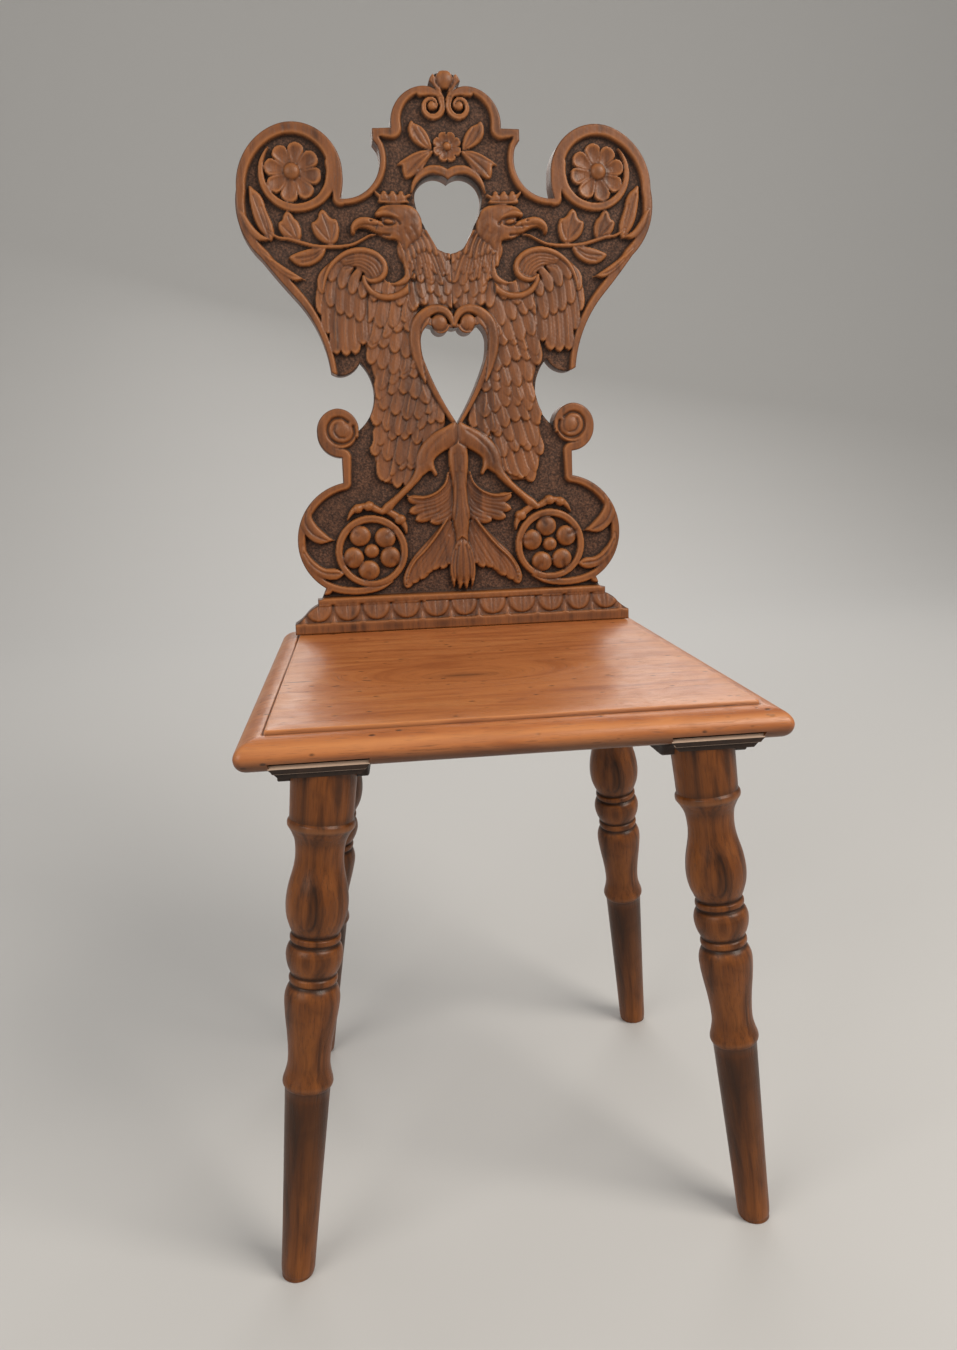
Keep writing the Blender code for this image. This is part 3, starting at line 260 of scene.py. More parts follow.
def colour(text):
    """An sRGB hex colour as linear red, green, blue and alpha."""
    channels = []
    for k in (1, 3, 5):
        value = int(text[k:k + 2], 16) / 255
        channels.append(value / 12.92 if value <= 0.04045 else ((value + 0.055) / 1.055) ** 2.4)
    return (*channels, 1)


# Paths and curves

def arc_points(start, end, bulge, pitch):
    """Points about one pitch apart from start to just before end along an arc."""
    start = np.array(start, float)
    end = np.array(end, float)
    chord = end - start
    length = float(np.hypot(*chord))
    count = max(1, math.ceil(length * (1 + bulge * bulge) / pitch))
    if abs(bulge) < 1e-6:
        return [start + chord * k / count for k in range(count)]
    sweep = 4 * math.atan(bulge)
    side = np.array([chord[1], -chord[0]]) / length
    radius = length / 2 / math.sin(abs(sweep) / 2)
    centre = (start + end) / 2 - math.copysign(radius * math.cos(sweep / 2), bulge) * side
    reach = start - centre
    points = []
    for k in range(count):
        turn = sweep * k / count
        points.append(centre + np.array([
            reach[0] * math.cos(turn) - reach[1] * math.sin(turn),
            reach[0] * math.sin(turn) + reach[1] * math.cos(turn),
        ]))
    return points


def half_path(rows, pitch):
    """Half an outline as points, each with the rim width of the arc it lies on."""
    points = []
    rims = []
    for row, following in zip(rows, rows[1:]):
        arc = arc_points(row[:2], following[:2], row[2], pitch)
        points += arc
        change = following[-1] - row[-1] if row[-1] and following[-1] else 0
        rims += [row[-1] + change * k / len(arc) for k in range(len(arc))]
    points.append(np.array(rows[-1][:2], float))
    rims.append(rows[-1][-1])
    return np.array(points), np.array(rims, float)


def mirrored_loop(half):
    """A closed loop from a right half; its ends on the middle line aren't doubled."""
    left = half[::-1] * np.array([-1, 1])
    first = 1 if half[-1][0] < HAIR else 0
    last = -1 if half[0][0] < HAIR else None
    return np.concatenate([half, left[first:last]])


def inside(loop, u, v):
    """Whether each place lies inside a closed loop."""
    order = np.argsort(v)
    ordered = v[order]
    odd = np.zeros(u.shape, bool)
    for a, b in zip(loop, np.roll(loop, -1, axis=0)):
        low, high = np.searchsorted(ordered, (min(a[1], b[1]), max(a[1], b[1])))
        row = order[low:high]
        odd[row] ^= u[row] < (b[0] - a[0]) * (v[row] - a[1]) / (b[1] - a[1] + 1e-12) + a[0]
    return odd


def on_wood(u, v):
    """Whether each place lies inside the outline and outside both hearts."""
    return inside(loops[0], u, v) & ~inside(loops[1], u, v) & ~inside(loops[2], u, v)


def smooth_line(rows, per_span=8):
    """Control rows of any width joined by a curve through all of them."""
    rows = np.array(rows, float)
    if len(rows) == 2:
        share = np.linspace(0, 1, per_span + 1)[:, None]
        return rows[0] * (1 - share) + rows[1] * share
    ends = np.concatenate([[2 * rows[0] - rows[1]], rows, [2 * rows[-1] - rows[-2]]])
    share = np.linspace(0, 1, per_span, endpoint=False)[:, None]
    line = []
    for a, b, c, d in zip(ends, ends[1:], ends[2:], ends[3:]):
        line.append(0.5 * (2 * b + (c - a) * share + (2 * a - 5 * b + 4 * c - d) * share ** 2
                           + (3 * b - a - 3 * c + d) * share ** 3))
    return np.concatenate([*line, rows[-1:]])


def near_line(u, v, line):
    """Distance to a line, the side it lies on, the share of the length and the half width there."""
    steps = np.hypot(*(line[1:, :2] - line[:-1, :2]).T)
    marks = np.concatenate([[0], np.cumsum(steps)])
    gap = np.full(u.shape, np.inf)
    side = np.zeros(u.shape)
    along = np.zeros(u.shape)
    width = np.zeros(u.shape)
    for a, b, step, mark in zip(line, line[1:], steps, marks):
        run = b[:2] - a[:2]
        share = np.clip(((u - a[0]) * run[0] + (v - a[1]) * run[1]) / (step * step + 1e-9), 0, 1)
        off_u = u - a[0] - share * run[0]
        off_v = v - a[1] - share * run[1]
        here = np.hypot(off_u, off_v)
        closer = here < gap
        gap = np.where(closer, here, gap)
        side = np.where(closer, np.sign(run[0] * off_v - run[1] * off_u), side)
        along = np.where(closer, (mark + share * step) / marks[-1], along)
        if line.shape[1] > 2:
            width = np.where(closer, a[2] + share * (b[2] - a[2]), width)
    return gap, side, along, width


class Carver:
    """The carver's tools: each lays one form on the heights over the ground."""

    def __init__(self, across, up):
        self.across = across
        # A hand never cuts both halves alike: slow waves shift every form by up to half a millimetre
        wander = HAND_WANDER * np.sin(up / 31 + np.sign(across)) * np.sin(across / 43 + 2)
        self.right = np.abs(across) + wander
        self.up = up + HAND_WANDER * np.sin(across / 37 + 1) * np.sin(up / 53)
        self.height = np.zeros(across.shape)
        self.worked = np.zeros(across.shape)
        self.half = 0

    def window(self, rows, margin, signed=False):
        """Indexes of the places near some rows, and their coordinates."""
        rows = np.array(rows, float)
        u = self.across if signed else self.right
        low = rows[:, :2].min(axis=0) - margin
        high = rows[:, :2].max(axis=0) + margin
        near = (u > low[0]) & (u < high[0]) & (self.up > low[1]) & (self.up < high[1])
        if self.half:
            near &= self.across * self.half > 0
        chosen = np.flatnonzero(near)
        return chosen, u[chosen], self.up[chosen]

    def lay(self, chosen, height, inwards, soft=0.8):
        """Puts a form's own height where it lies: inwards is the distance inside its edge."""
        share = np.clip(inwards / soft + 0.5, 0, 1)
        share = share * share * (3 - 2 * share)
        self.height[chosen] += (height - self.height[chosen]) * share
        self.worked[chosen] = np.maximum(self.worked[chosen], share)

    def raise_to(self, chosen, height, inwards, soft=0.8):
        """Like lay, but leaves what stands higher as it is."""
        share = np.clip(inwards / soft + 0.5, 0, 1)
        self.height[chosen] = np.maximum(self.height[chosen], height * share)
        self.worked[chosen] = np.maximum(self.worked[chosen], share)

    def band(self, rows, height, flat=0.35, over=True, lip=0.0):
        """A strap along a curve, flat or dished in the middle and rounded at its sides."""
        line = smooth_line(rows)
        chosen, u, v = self.window(line, 12)
        gap, _, _, width = near_line(u, v, line)
        share = gap / np.maximum(width, 0.1)
        edge = np.clip((share - flat) / (1 - flat), 0, 1)
        own = height * (0.55 + 0.45 * np.sqrt(1 - edge * edge)) - lip * np.clip(1 - share * share * 1.6,
                                                                                0, 1)
        (self.lay if over else self.raise_to)(chosen, own, width - gap)

    def pillow(self, rows, low, rise, reach, hollow=0.0, both_sides=False, over=True):
        """A form inside a closed curve: it swells from its edge, and may be hollowed; a row given twice is
        a point of the form."""
        rows = np.array(rows, float)
        if both_sides:
            rows = np.concatenate([rows, rows[::-1] * (-1, 1)])
        line = smooth_line(np.concatenate([rows[-2:], rows, rows[:2]]), 6)[12:-6]
        chosen, u, v = self.window(line, 2)
        gap, _, _, _ = near_line(u, v, line)
        gap = np.where(inside(line, u, v), gap, -gap)
        share = 1 - np.clip(gap / reach, 0, 1)
        own = low + rise * np.sqrt(1 - share * share) - hollow * (1 - share) ** 1.5
        (self.lay if over else self.raise_to)(chosen, own, gap)

    def blade(self, points, half, low, lift, rib=0.3, edge=0.9, tilt=0.4, over=True):
        """A feather or finger of a leaf: it rises to a rounded tip and leans to one side like a shingle;
        a rib or a vein runs down its middle."""
        middle = smooth_line(points, 10)
        even = np.linspace(0, 1, len(middle))
        share = even ** 0.7
        middle = np.column_stack([np.interp(share, even, middle[:, k]) for k in (0, 1)])
        length = np.hypot(*np.diff(middle, axis=0).T).sum()
        taper = min(max(2 * half / length, 0.15), 0.65)
        to_tip = np.clip((share - 1 + taper) / taper, 0, 1)
        width = half * np.minimum(0.62 + 0.76 * share, 1) * np.sqrt(np.maximum(1 - to_tip ** 1.9, 0.003))
        line = np.column_stack([middle, width])
        chosen, u, v = self.window(line, half + 1)
        gap, side, along, width = near_line(u, v, line)
        beside = np.clip(gap / np.maximum(width, 0.1), 0, 1.2)
        own = low + lift * along ** 1.2 - edge * beside ** 2.5 + tilt * side * beside
        own += rib * np.exp(-(gap / 0.7) ** 2) * np.clip((0.92 - along) * 8, 0, 1)
        (self.lay if over else self.raise_to)(chosen, own, width - gap)

    def sink(self, rows):
        """Takes an area down to the ground."""
        line = smooth_line(np.concatenate([rows[-2:], rows, rows[:2]]), 6)[12:-6]
        chosen, u, v = self.window(line, 1)
        within = chosen[inside(line, u, v)]
        self.height[within] = 0
        self.worked[within] = 0

    def dome(self, across, up, half_across, half_up, base, rise, turn=0, over=True):
        """Part of a ball or egg."""
        reach = max(half_across, half_up)
        chosen, u, v = self.window([(across, up)], reach + 2)
        along = (u - across) * math.cos(turn) + (v - up) * math.sin(turn)
        beside = (v - up) * math.cos(turn) - (u - across) * math.sin(turn)
        share = np.hypot(along / half_across, beside / half_up)
        own = base + rise * np.sqrt(np.clip(1 - share * share, 0, 1))
        (self.lay if over else self.raise_to)(chosen, own, (1 - share) * min(half_across, half_up))

    def flower(self, across, up, radius, count, phase, high, hollow, notch=0.2, boss=7.5):
        """Cupped petals side by side round a boss, each with a raised rim."""
        chosen, u, v = self.window([(across, up)], radius + 2)
        reach = np.hypot(u - across, v - up)
        pitch = 2 * math.pi / count
        turn = np.arctan2(v - up, u - across) - math.radians(phase)
        petal = np.round(turn / pitch)
        share = np.clip(2 * (turn / pitch - petal), -1, 1)
        own_radius = radius * (1 + 0.03 * np.sin(5.3 * petal + across))
        edge = own_radius * (1 - notch + notch * np.sqrt(1 - share * share))
        out = np.clip((reach - boss * 0.6) / (edge - boss * 0.6), 0, 1)
        cup = (1 - share ** 4) * np.sin(math.pi * np.clip(out, 0, 1) ** 0.8) ** 0.7
        own = high - hollow * cup + 0.5 * out - 0.5 * np.clip((out - 0.9) / 0.1, 0, 1)
        seam = (1 - np.abs(share)) * reach * math.sin(pitch / 2)
        own -= 2.4 * np.exp(-(seam / 0.8) ** 2)
        self.lay(chosen, own, edge - reach)

    def cut(self, rows, depth, width):
        """A gouged line."""
        line = smooth_line(rows)
        chosen, u, v = self.window(line, 5)
        gap, _, _, _ = near_line(u, v, line)
        self.height[chosen] -= depth * np.exp(-(gap / width) ** 2)


def carve_rims(carver):
    """The flat band that follows the outline, and the one over the upper heart."""
    for k in range(len(outline_coarse) - 1):
        width = outline_coarse_rims[k]
        if not width:
            continue
        segment = outline_coarse[k:k + 2]
        chosen, u, v = carver.window(segment, width + 2)
        gap, _, _, _ = near_line(u, v, segment)
        carver.raise_to(chosen, CARVING_DEPTH, width - gap, soft=2.2)
    carver.band([(0, 446, 5), (8, 450.5, 4.5), (18, 451, 4), (27.5, 446, 3.2), (33.5, 438.5, 2.2),
                 (36.5, 430, 0.8)], 4.8, over=False)


def carve_crest(carver):
    """The rim curls in to two scrolls under the knob; a small flower stands between four leaves."""
    for rows, veins in (
        ([(15.5, 470), (16, 477), (19, 484.5), (24.5, 490.5), (30, 493), (34.5, 494.5), (37.2, 489.5),
          (36.6, 482.5), (33, 476.5), (26.5, 472), (19.5, 469.6)],
         ([(17, 471), (21.5, 480), (27, 489)], [(18, 470.5), (26, 476.5), (31.5, 485.5)])),
        ([(15, 468.6), (24, 468.8), (33, 466.2), (41, 461.8), (46.5, 458.2), (49.6, 455), (45, 454.4),
          (44.6, 449), (42.6, 443.2), (39, 442.4), (32.5, 445.4), (25, 451.5), (19.5, 459.5),
          (14.6, 466)],
         ([(17, 468), (30, 463.5), (40, 458.6), (46, 456)],
          [(17.5, 466.4), (27.5, 458.5), (36, 451), (41, 445)],
          [(17, 464.5), (22.5, 457.5), (29, 450.5)])),
    ):
        carver.pillow(rows, 3.0, 2.6, 5, hollow=0.6)
        for vein in veins:
            carver.cut(vein, 1.1, 0.9)
    carver.pillow([(31.8, 493.4), (34.8, 495), (37.4, 489.5), (36.6, 482), (33.4, 477.5), (32.6, 482),
                   (33.6, 488)],
                  4.6, 1.8, 2.4)
    carver.flower(0, 472.5, 14.3, 8, 22.5, 4.8, 3.2, notch=0.24, boss=4)
    carver.dome(0.3, 472.6, 3.8, 3.8, 2.6, 3)
    carver.band([(24, 521, 4), (15, 522, 4.2), (7, 520, 3.6), (3.2, 514.5, 3.2)], 6.0, flat=0.7,
                over=False)
    spiral = ((150, 10.6, 3.1), (180, 10.5, 3), (210, 10.4, 2.9), (240, 10.3, 2.8), (270, 10.1, 2.7),
              (300, 9.5, 2.6), (330, 8.7, 2.45), (360, 7.8, 2.3), (390, 7.3, 2.1), (420, 6.8, 1.9),
              (450, 6.4, 1.7), (480, 6, 1.5), (510, 5.5, 1.2), (545, 5, 0.9), (580, 4.5, 0.6))
    carver.band(rows_round(13.2, 509, spiral), 6.1, flat=0.6, lip=0.8)
    carver.dome(13.2, 509, 4.3, 4.3, 4.2, 2.4)
    carver.pillow([(2, 521.5), (2, 521.5), (8, 522.5), (13, 526), (16, 532), (15.5, 537.5), (12, 539),
                   (8.5, 535), (8, 529)],
                  5.0, 2.0, 3, hollow=0.6)
    carver.dome(0, 532.5, 8.4, 9, 4.0, 5)


def carve_ears(carver):
    """The rim's inner end circles an eight-petalled rosette and thins out."""
    turns = ((165, 38, 6.2), (180, 37, 6), (202, 35.6, 5.3), (226, 34, 4.6), (250, 32.5, 4.3),
             (275, 31.8, 4.1), (300, 31.2, 3.8), (325, 31, 3.5), (350, 31, 3.1), (15, 31.4, 2.5),
             (34, 32, 1.5), (46, 32.6, 0.6))
    carver.band(rows_round(149.5, 447, turns), 6.0, flat=0.6, over=False)
    carver.flower(150.3, 448.4, 27.8, 8, 12, 5.8, 3.0, notch=0.3)
    carver.dome(151, 448.6, 7.8, 7.8, 3.6, 4.6)


def carve_vine(carver):
    """Stem from the beak with its lobed leaves, and the leaves that wrap the slanted edge."""
    for rows, veins in (
        ([(117, 380.6), (111.8, 384), (109.2, 391), (109, 398), (111, 404), (114.6, 405), (118, 407.4),
          (121, 411.6), (124.5, 413.6), (127.8, 410.4), (129.4, 405.6), (132.2, 402.8), (135.4, 401),
          (135, 394.5), (131.4, 387.6), (124.5, 382.4)],
         ([(117.5, 382), (119.5, 394), (124.2, 408.5)], [(116.4, 385), (113.4, 393), (112.6, 400)],
          [(120, 385), (126.5, 392), (131.5, 398.6)])),
        ([(149.5, 383.6), (146, 389), (145.8, 396), (148.2, 402.6), (151.6, 406), (154.4, 410.6),
          (158.5, 412.6), (161.8, 409), (163.6, 404.4), (167.4, 401.4), (166.6, 394.6), (162.4, 388.4),
          (155.4, 384.6)],
         ([(150, 386), (153, 397), (157.6, 407.6)], [(152, 387), (158.5, 393.5), (164, 399.4)])),
        ([(176, 385), (172.2, 391), (172.6, 400), (175.4, 408), (178, 415), (179.6, 422.5),
          (182.8, 428.4), (187.5, 432.6), (192.6, 436), (193.2, 426), (192, 415), (189.4, 404),
          (184.4, 393.4)],
         ([(177, 387), (182, 404), (189.4, 427)], [(176, 392), (178.5, 404), (182.2, 417)])),
        ([(123.5, 378), (125.2, 371.2), (131.2, 365), (140, 361.2), (149, 361.2), (155.8, 365),
          (159, 370), (152, 373.8), (142, 376.8), (132, 378.4)],
         ([(126, 376.5), (138, 370), (153, 368.6)], [(127.5, 373.5), (137, 366.8), (147.5, 364.4)])),
    ):
        carver.pillow(rows, 3.0, 2.8, 6, hollow=0.7)
        for vein in veins:
            carver.cut(vein, 1.0, 0.8)
    carver.band([(73, 390.4, 0.9), (80, 388.8, 1.1), (88, 384.6, 1.4), (97, 380.6, 1.7), (108, 379, 1.9),
                 (120, 378.8, 2), (133, 379.6, 2), (146, 383, 1.9), (158, 386.6, 1.8), (168, 388, 1.6),
                 (178, 394, 1.2)], 4.9, flat=0.1)
    carver.pillow([(176, 386), (176, 386), (185, 384.5), (193, 389), (200, 400), (204, 414), (204, 414),
                   (198.5, 410), (193, 401), (186, 392.5)], 5.6, 2.0, 3.5)
    carver.pillow([(146, 349), (146, 349), (155, 347), (166, 353), (176, 362), (188, 377), (188, 377),
                   (176, 369), (163, 360)], 5.4, 2.0, 3)
    carver.cut([(150, 349.5), (163, 354), (176, 365)], 0.9, 0.8)


def carve_wings(carver):
    """Long feathers of the wing, the shorter ones over them and the folds inside the bow."""
    carver.sink([(43, 357), (45, 350), (51, 345.5), (58, 344.5), (65, 347), (67, 353), (62.5, 359),
                 (60, 366), (54, 373), (48, 371), (44, 364)])
    for root, tip, half, bend in (
        ((119, 360), (130.5, 315), 5.2, 4), ((113, 357), (125, 297), 5.6, 4.5),
        ((106, 352), (117.5, 277), 5.8, 4.5), ((99, 348), (108, 275.5), 5.8, 3.5),
        ((93, 342), (99, 277), 5.8, 2.5), ((87, 336), (91, 286), 5.4, 1.5),
    ):
        carver.blade(bent(root, tip, bend), half + 0.4, 2.6, 3.2, rib=1.0 if half > 5.7 else 0.4)
    for root, tip, half, bend in (
        ((117, 363), (129, 335), 4.8, 4), ((110, 361), (121, 322), 5.2, 4),
        ((102, 357), (111.5, 315), 5.4, 3.5), ((95, 351), (103, 312), 5.4, 2.5),
        ((88, 344), (93.5, 308), 5.2, 1.5),
    ):
        carver.blade(bent(root, tip, bend), half + 0.6, 3.4, 3.0, rib=0.9 if bend > 3.6 else 0.3)
    for root, tip, half, bend in (
        ((104, 367), (120, 346), 4.6, 3.5), ((97, 364), (110, 339), 4.8, 3),
        ((90, 358), (100, 334), 4.8, 2), ((83, 352), (90, 330), 4.6, 1),
    ):
        carver.blade(bent(root, tip, bend), half + 0.6, 4.0, 2.6)
    carver.pillow([(68, 356), (70, 365), (78, 371.5), (90, 373.5), (102, 371.5), (111, 366), (105, 361),
                   (96, 360), (88, 355), (80, 348), (72, 349)], 3.6, 2.4, 8)
    for offset in range(4):
        carver.cut([(71 + 3 * offset, 353 - offset), (76 + 3 * offset, 362 - 2 * offset),
                    (88 + 2.4 * offset, 368 - 2.6 * offset), (103 + offset, 366.5 - 3 * offset)], 1.0,
                   0.9)
    carver.band([(128, 338, 1.2), (124.5, 351, 2), (117, 363, 2.4), (104, 372, 2.9), (89, 375, 3.2),
                 (75, 371.5, 3.2), (66.5, 363, 3), (66.5, 353.5, 2.9), (73, 347.6, 2.8), (81, 346.4, 2.4),
                 (87.5, 350, 1.4)], 7.2, flat=0.1)
    carver.pillow([(38, 358), (40, 349), (46, 343.5), (54, 341.5), (60.5, 343.5), (60.5, 343.5),
                   (53, 346.5), (47, 351), (44.5, 358), (40, 362)], 4.0, 2.0, 3)
    carver.band([(33, 362, 2), (35.5, 351, 3), (43, 339.5, 3.4), (55, 332, 3.4), (69, 331, 3.2),
                 (79.5, 335.5, 3), (85.5, 343, 2.6), (87.5, 350.5, 1.4)], 7.4, flat=0.1)


def rows_round(across, up, turns):
    """Rows of a curve round a centre, from its (degrees, reach, half width)."""
    return [
        (across + reach * math.cos(math.radians(turn)), up + reach * math.sin(math.radians(turn)), half)
        for turn, reach, half in turns
    ]


def bent(root, tip, bend):
    """Three points of a bow from root to tip."""
    root = np.array(root, float)
    tip = np.array(tip, float)
    axis = tip - root
    side = np.array([-axis[1], axis[0]]) / np.hypot(*axis)
    return [root, (root + tip) / 2 + side * bend, tip]


def body_edges(up):
    """The feathered body's inner and outer edge at a height."""
    inner = np.interp(up, (140, 165, 190, 206, 230, 252, 275, 300, 320, 345),
                      (56, 40, 24, 10, 20, 31, 40, 42, 38, 34))
    outer = np.interp(up, (140, 165, 190, 215, 240, 265, 300, 330), (70, 84, 87, 82, 78, 84, 92, 92))
    return inner, outer


def carve_body(carver):
    """Rows of overlapping feathers from the tail up to the breast."""
    heights = range(150, 345, 12)
    outline = [(body_edges(up)[1], up) for up in heights]
    outline += [(body_edges(up)[0], up) for up in reversed(heights)]
    carver.pillow(outline, 2.2, 1.4, 10, over=False)
    for side in (-1, 1):
        carver.half = side
        for row, tip_up in enumerate(range(142, 328, 15)):
            inner, outer = body_edges(tip_up + 8)
            count = max(2, round((outer - inner) / 12.5))
            for k in range(count + 1):
                place = (k + (0.5 if row % 2 else 0)) / count
                if place > 1.02:
                    continue
                chance = math.sin(12.9 * k + 7.7 * row + side)
                ribbed = math.sin(5.1 * k + 3.7 * row + 2 * side) > 0.45
                tip = inner + 4 + (outer - inner - 4) * place
                tip_v = tip_up + 6 * math.sin(7.3 * k + 2.1 * row + side)
                if row == 0:
                    tip_v += 10 * abs(place - 0.7)
                length = 38 + 6 * chance
                root_inner, root_outer = body_edges(tip_v + length)
                root = min(max(tip - 9 - 3 * place - 2 * chance, root_inner - 2), root_outer)
                line = bent((root, tip_v + length), (tip, tip_v), 1.4 + chance)
                carver.blade(line, 6.9 + 0.8 * chance, 2.4, 3.6, rib=1.15 if ribbed else 0.2,
                             tilt=0.35 + 0.3 * chance)
    carver.half = 0


def carve_breast(carver):
    """Short feathers between the wings and long strands down both necks."""
    carver.pillow([(0, 322), (30, 322), (40, 335), (42, 352), (52, 372), (50, 384), (36, 392), (26, 396),
                   (20, 388), (10, 372), (0, 366)], 2.4, 1.6, 10, over=False)
    for side in (-1, 1):
        carver.half = side
        for row, tip_up in enumerate(range(321, 366, 11)):
            reach = np.interp(tip_up, (320, 350, 370), (37, 28, 10))
            count = max(1, round(reach / 9))
            for k in range(count + 1):
                place = (k + (0.5 if row % 2 else 0)) / count
                if place > 1.05:
                    continue
                tip = reach * place
                tip_v = tip_up + 2.5 * math.sin(9 * k + 4 * row + side)
                carver.blade(bent((tip + 3, tip_v + 25), (tip, tip_v), 0), 5.6, 2.6, 3.2,
                             rib=0.7 if k % 2 else 0.2)
        for k in range(13):
            share = k / 12
            wave = math.sin(8.1 * k + side)
            root = (52 - 30 * share, 384 + 10 * math.sin(math.pi * (share * 0.8 + 0.15)))
            tip = (44 - 40 * share + 2 * wave, 353 + 7 * wave - 4 * share)
            carver.blade(bent(root, tip, -2.5 - wave), 3 + 0.5 * wave, 4.0, 1.8, rib=1.1)
        for k in range(6):
            wave = math.sin(5.3 * k + 2 * side)
            line = bent((48 - 5 * k, 386 + 1.5 * k), (41 - 5.4 * k + wave, 367 + 4 * wave + k), -1.5)
            carver.blade(line, 2.8 + 0.4 * wave, 4.8, 1.8, rib=1.0)
    carver.half = 0


def carve_head(carver):
    """Crown, skull, brow, eye and the hooked beak that holds the stem."""
    carver.pillow([(41, 419.5), (41.4, 423.6), (37.4, 426.4), (38.6, 428.4), (43.4, 427), (46.8, 430.4),
                   (50.6, 427.4), (55.4, 430.8), (59.4, 427.4), (63.6, 430.4), (67.4, 427.8),
                   (71.8, 430.8), (72.6, 428.6), (69, 424), (67.5, 419.5)], 3.2, 2.4, 3.4)
    carver.band([(41, 420.6, 1.3), (54, 419.8, 1.5), (67.5, 420.4, 1.3)], 5.6, flat=0.2)
    for across in (46.8, 55.2, 63.6):
        carver.dome(across, 428.4, 2.6, 2.4, 3.8, 2.2, over=False)
    for across in (42.6, 51, 59.4, 66.6):
        carver.cut([(across, 422.4), (across + 0.2, 426.6)], 0.8, 0.9)
    carver.pillow([(27, 400), (27.5, 406), (31, 412), (37, 416.5), (45, 418), (57, 418), (66.5, 416),
                   (71.8, 411.5), (72.4, 408), (67, 405), (67, 402.4), (73, 402.6), (79, 404.6),
                   (86, 406), (92, 404.2), (96.4, 399.4), (98.2, 393.5), (96.5, 389.4), (94, 390.4),
                   (92.6, 393.4), (89, 395.6), (84, 395.8), (79, 394), (74, 391.4), (69, 388.8),
                   (62, 386.4), (54, 384.6), (49, 382), (47, 377.5), (43.5, 373), (40.5, 378.5),
                   (36, 382), (30.5, 386), (27, 392)], 4.0, 3.4, 8)
    carver.dome(41, 398, 14, 12, 4.4, 4.0, turn=-0.5, over=False)
    carver.dome(57, 391.5, 13, 6.5, 4.6, 3.0, turn=0.1, over=False)
    carver.dome(51, 407.6, 20, 9, 4.6, 3.6, turn=0.1, over=False)
    carver.band([(51, 405.4, 1), (57, 408, 2.6), (64, 409.6, 3.6), (70.8, 408.2, 2.8)], 8.8, flat=0.05,
                over=False)
    carver.band([(67, 399, 2.6), (75, 400.8, 3.6), (84, 402.2, 4), (91, 400.6, 3.5), (95.4, 396.4, 2.4),
                 (96.2, 391.2, 1)],
                8.4, flat=0.05)
    carver.cut([(49, 399.5), (53, 403.4), (60, 405.2), (69, 405.2)], 2.2, 1.1)
    carver.dome(60, 401.4, 7, 3.8, 4.6, 0.4)
    carver.dome(60.2, 401.6, 4.6, 2.3, 5.4, 2.2, turn=0.15)
    carver.cut([(53, 399.5), (60, 397.6), (67, 400.6)], 0.9, 0.9)
    carver.cut([(60, 388.8), (68, 389.6), (75, 391.2), (81, 394), (87, 395.6), (92.5, 392.6)], 2.8, 1.1)
    carver.cut([(69, 404.2), (71, 399), (73, 394)], 0.7, 0.8)
    carver.dome(77.5, 402.4, 1.5, 1, 5.6, 0.1)
    for rows in (
        [(50, 391), (47.5, 385), (44, 376)], [(44, 394), (40.5, 387), (37, 381)],
        [(38, 397), (34, 391), (31, 386)],
    ):
        carver.cut(rows, 0.6, 1.5)


def carve_legs(carver):
    """Thigh, shank and the toes that hold the rose."""
    carver.pillow([(1, 208), (12, 204), (24, 198), (34, 190), (41, 180), (44.5, 169), (44.5, 159),
                   (41, 154), (35, 157), (29, 160.5), (24.5, 155), (22, 157.5), (24.5, 165), (24, 172),
                   (16, 178.5), (6, 184), (0, 190)],
                  4.8, 3.8, 10)
    carver.cut([(10, 199), (22, 190), (32, 178), (36, 166)], 0.7, 1.6)
    carver.band([(38, 165, 6), (43.5, 155, 4.6), (51, 146.5, 3.7), (60, 138, 3.4), (68.5, 130.5, 3.8),
                 (74.5, 125, 4.8), (80, 121, 3.2)], 8.4, flat=0.05, over=False)
    carver.band([(77, 121, 3), (84, 122.5, 3.4), (91, 126, 3.8), (100, 127, 3.2), (107, 125, 3.4),
                 (112, 120.5, 2.4), (115.5, 114.5, 0.9)], 7.2, flat=0.1, over=False)
    for across, up, size in ((93.6, 127, 5.8), (105.2, 124.8, 5.4), (62.6, 112.4, 6)):
        carver.dome(across, up, size, size * 0.88, 4.6, 4.4, turn=-0.2, over=False)
    carver.band([(75, 121.5, 3.4), (68, 117, 3.8), (62, 112, 3.8), (58, 105, 2.6), (57, 98.5, 0.9)], 7.2,
                flat=0.1, over=False)


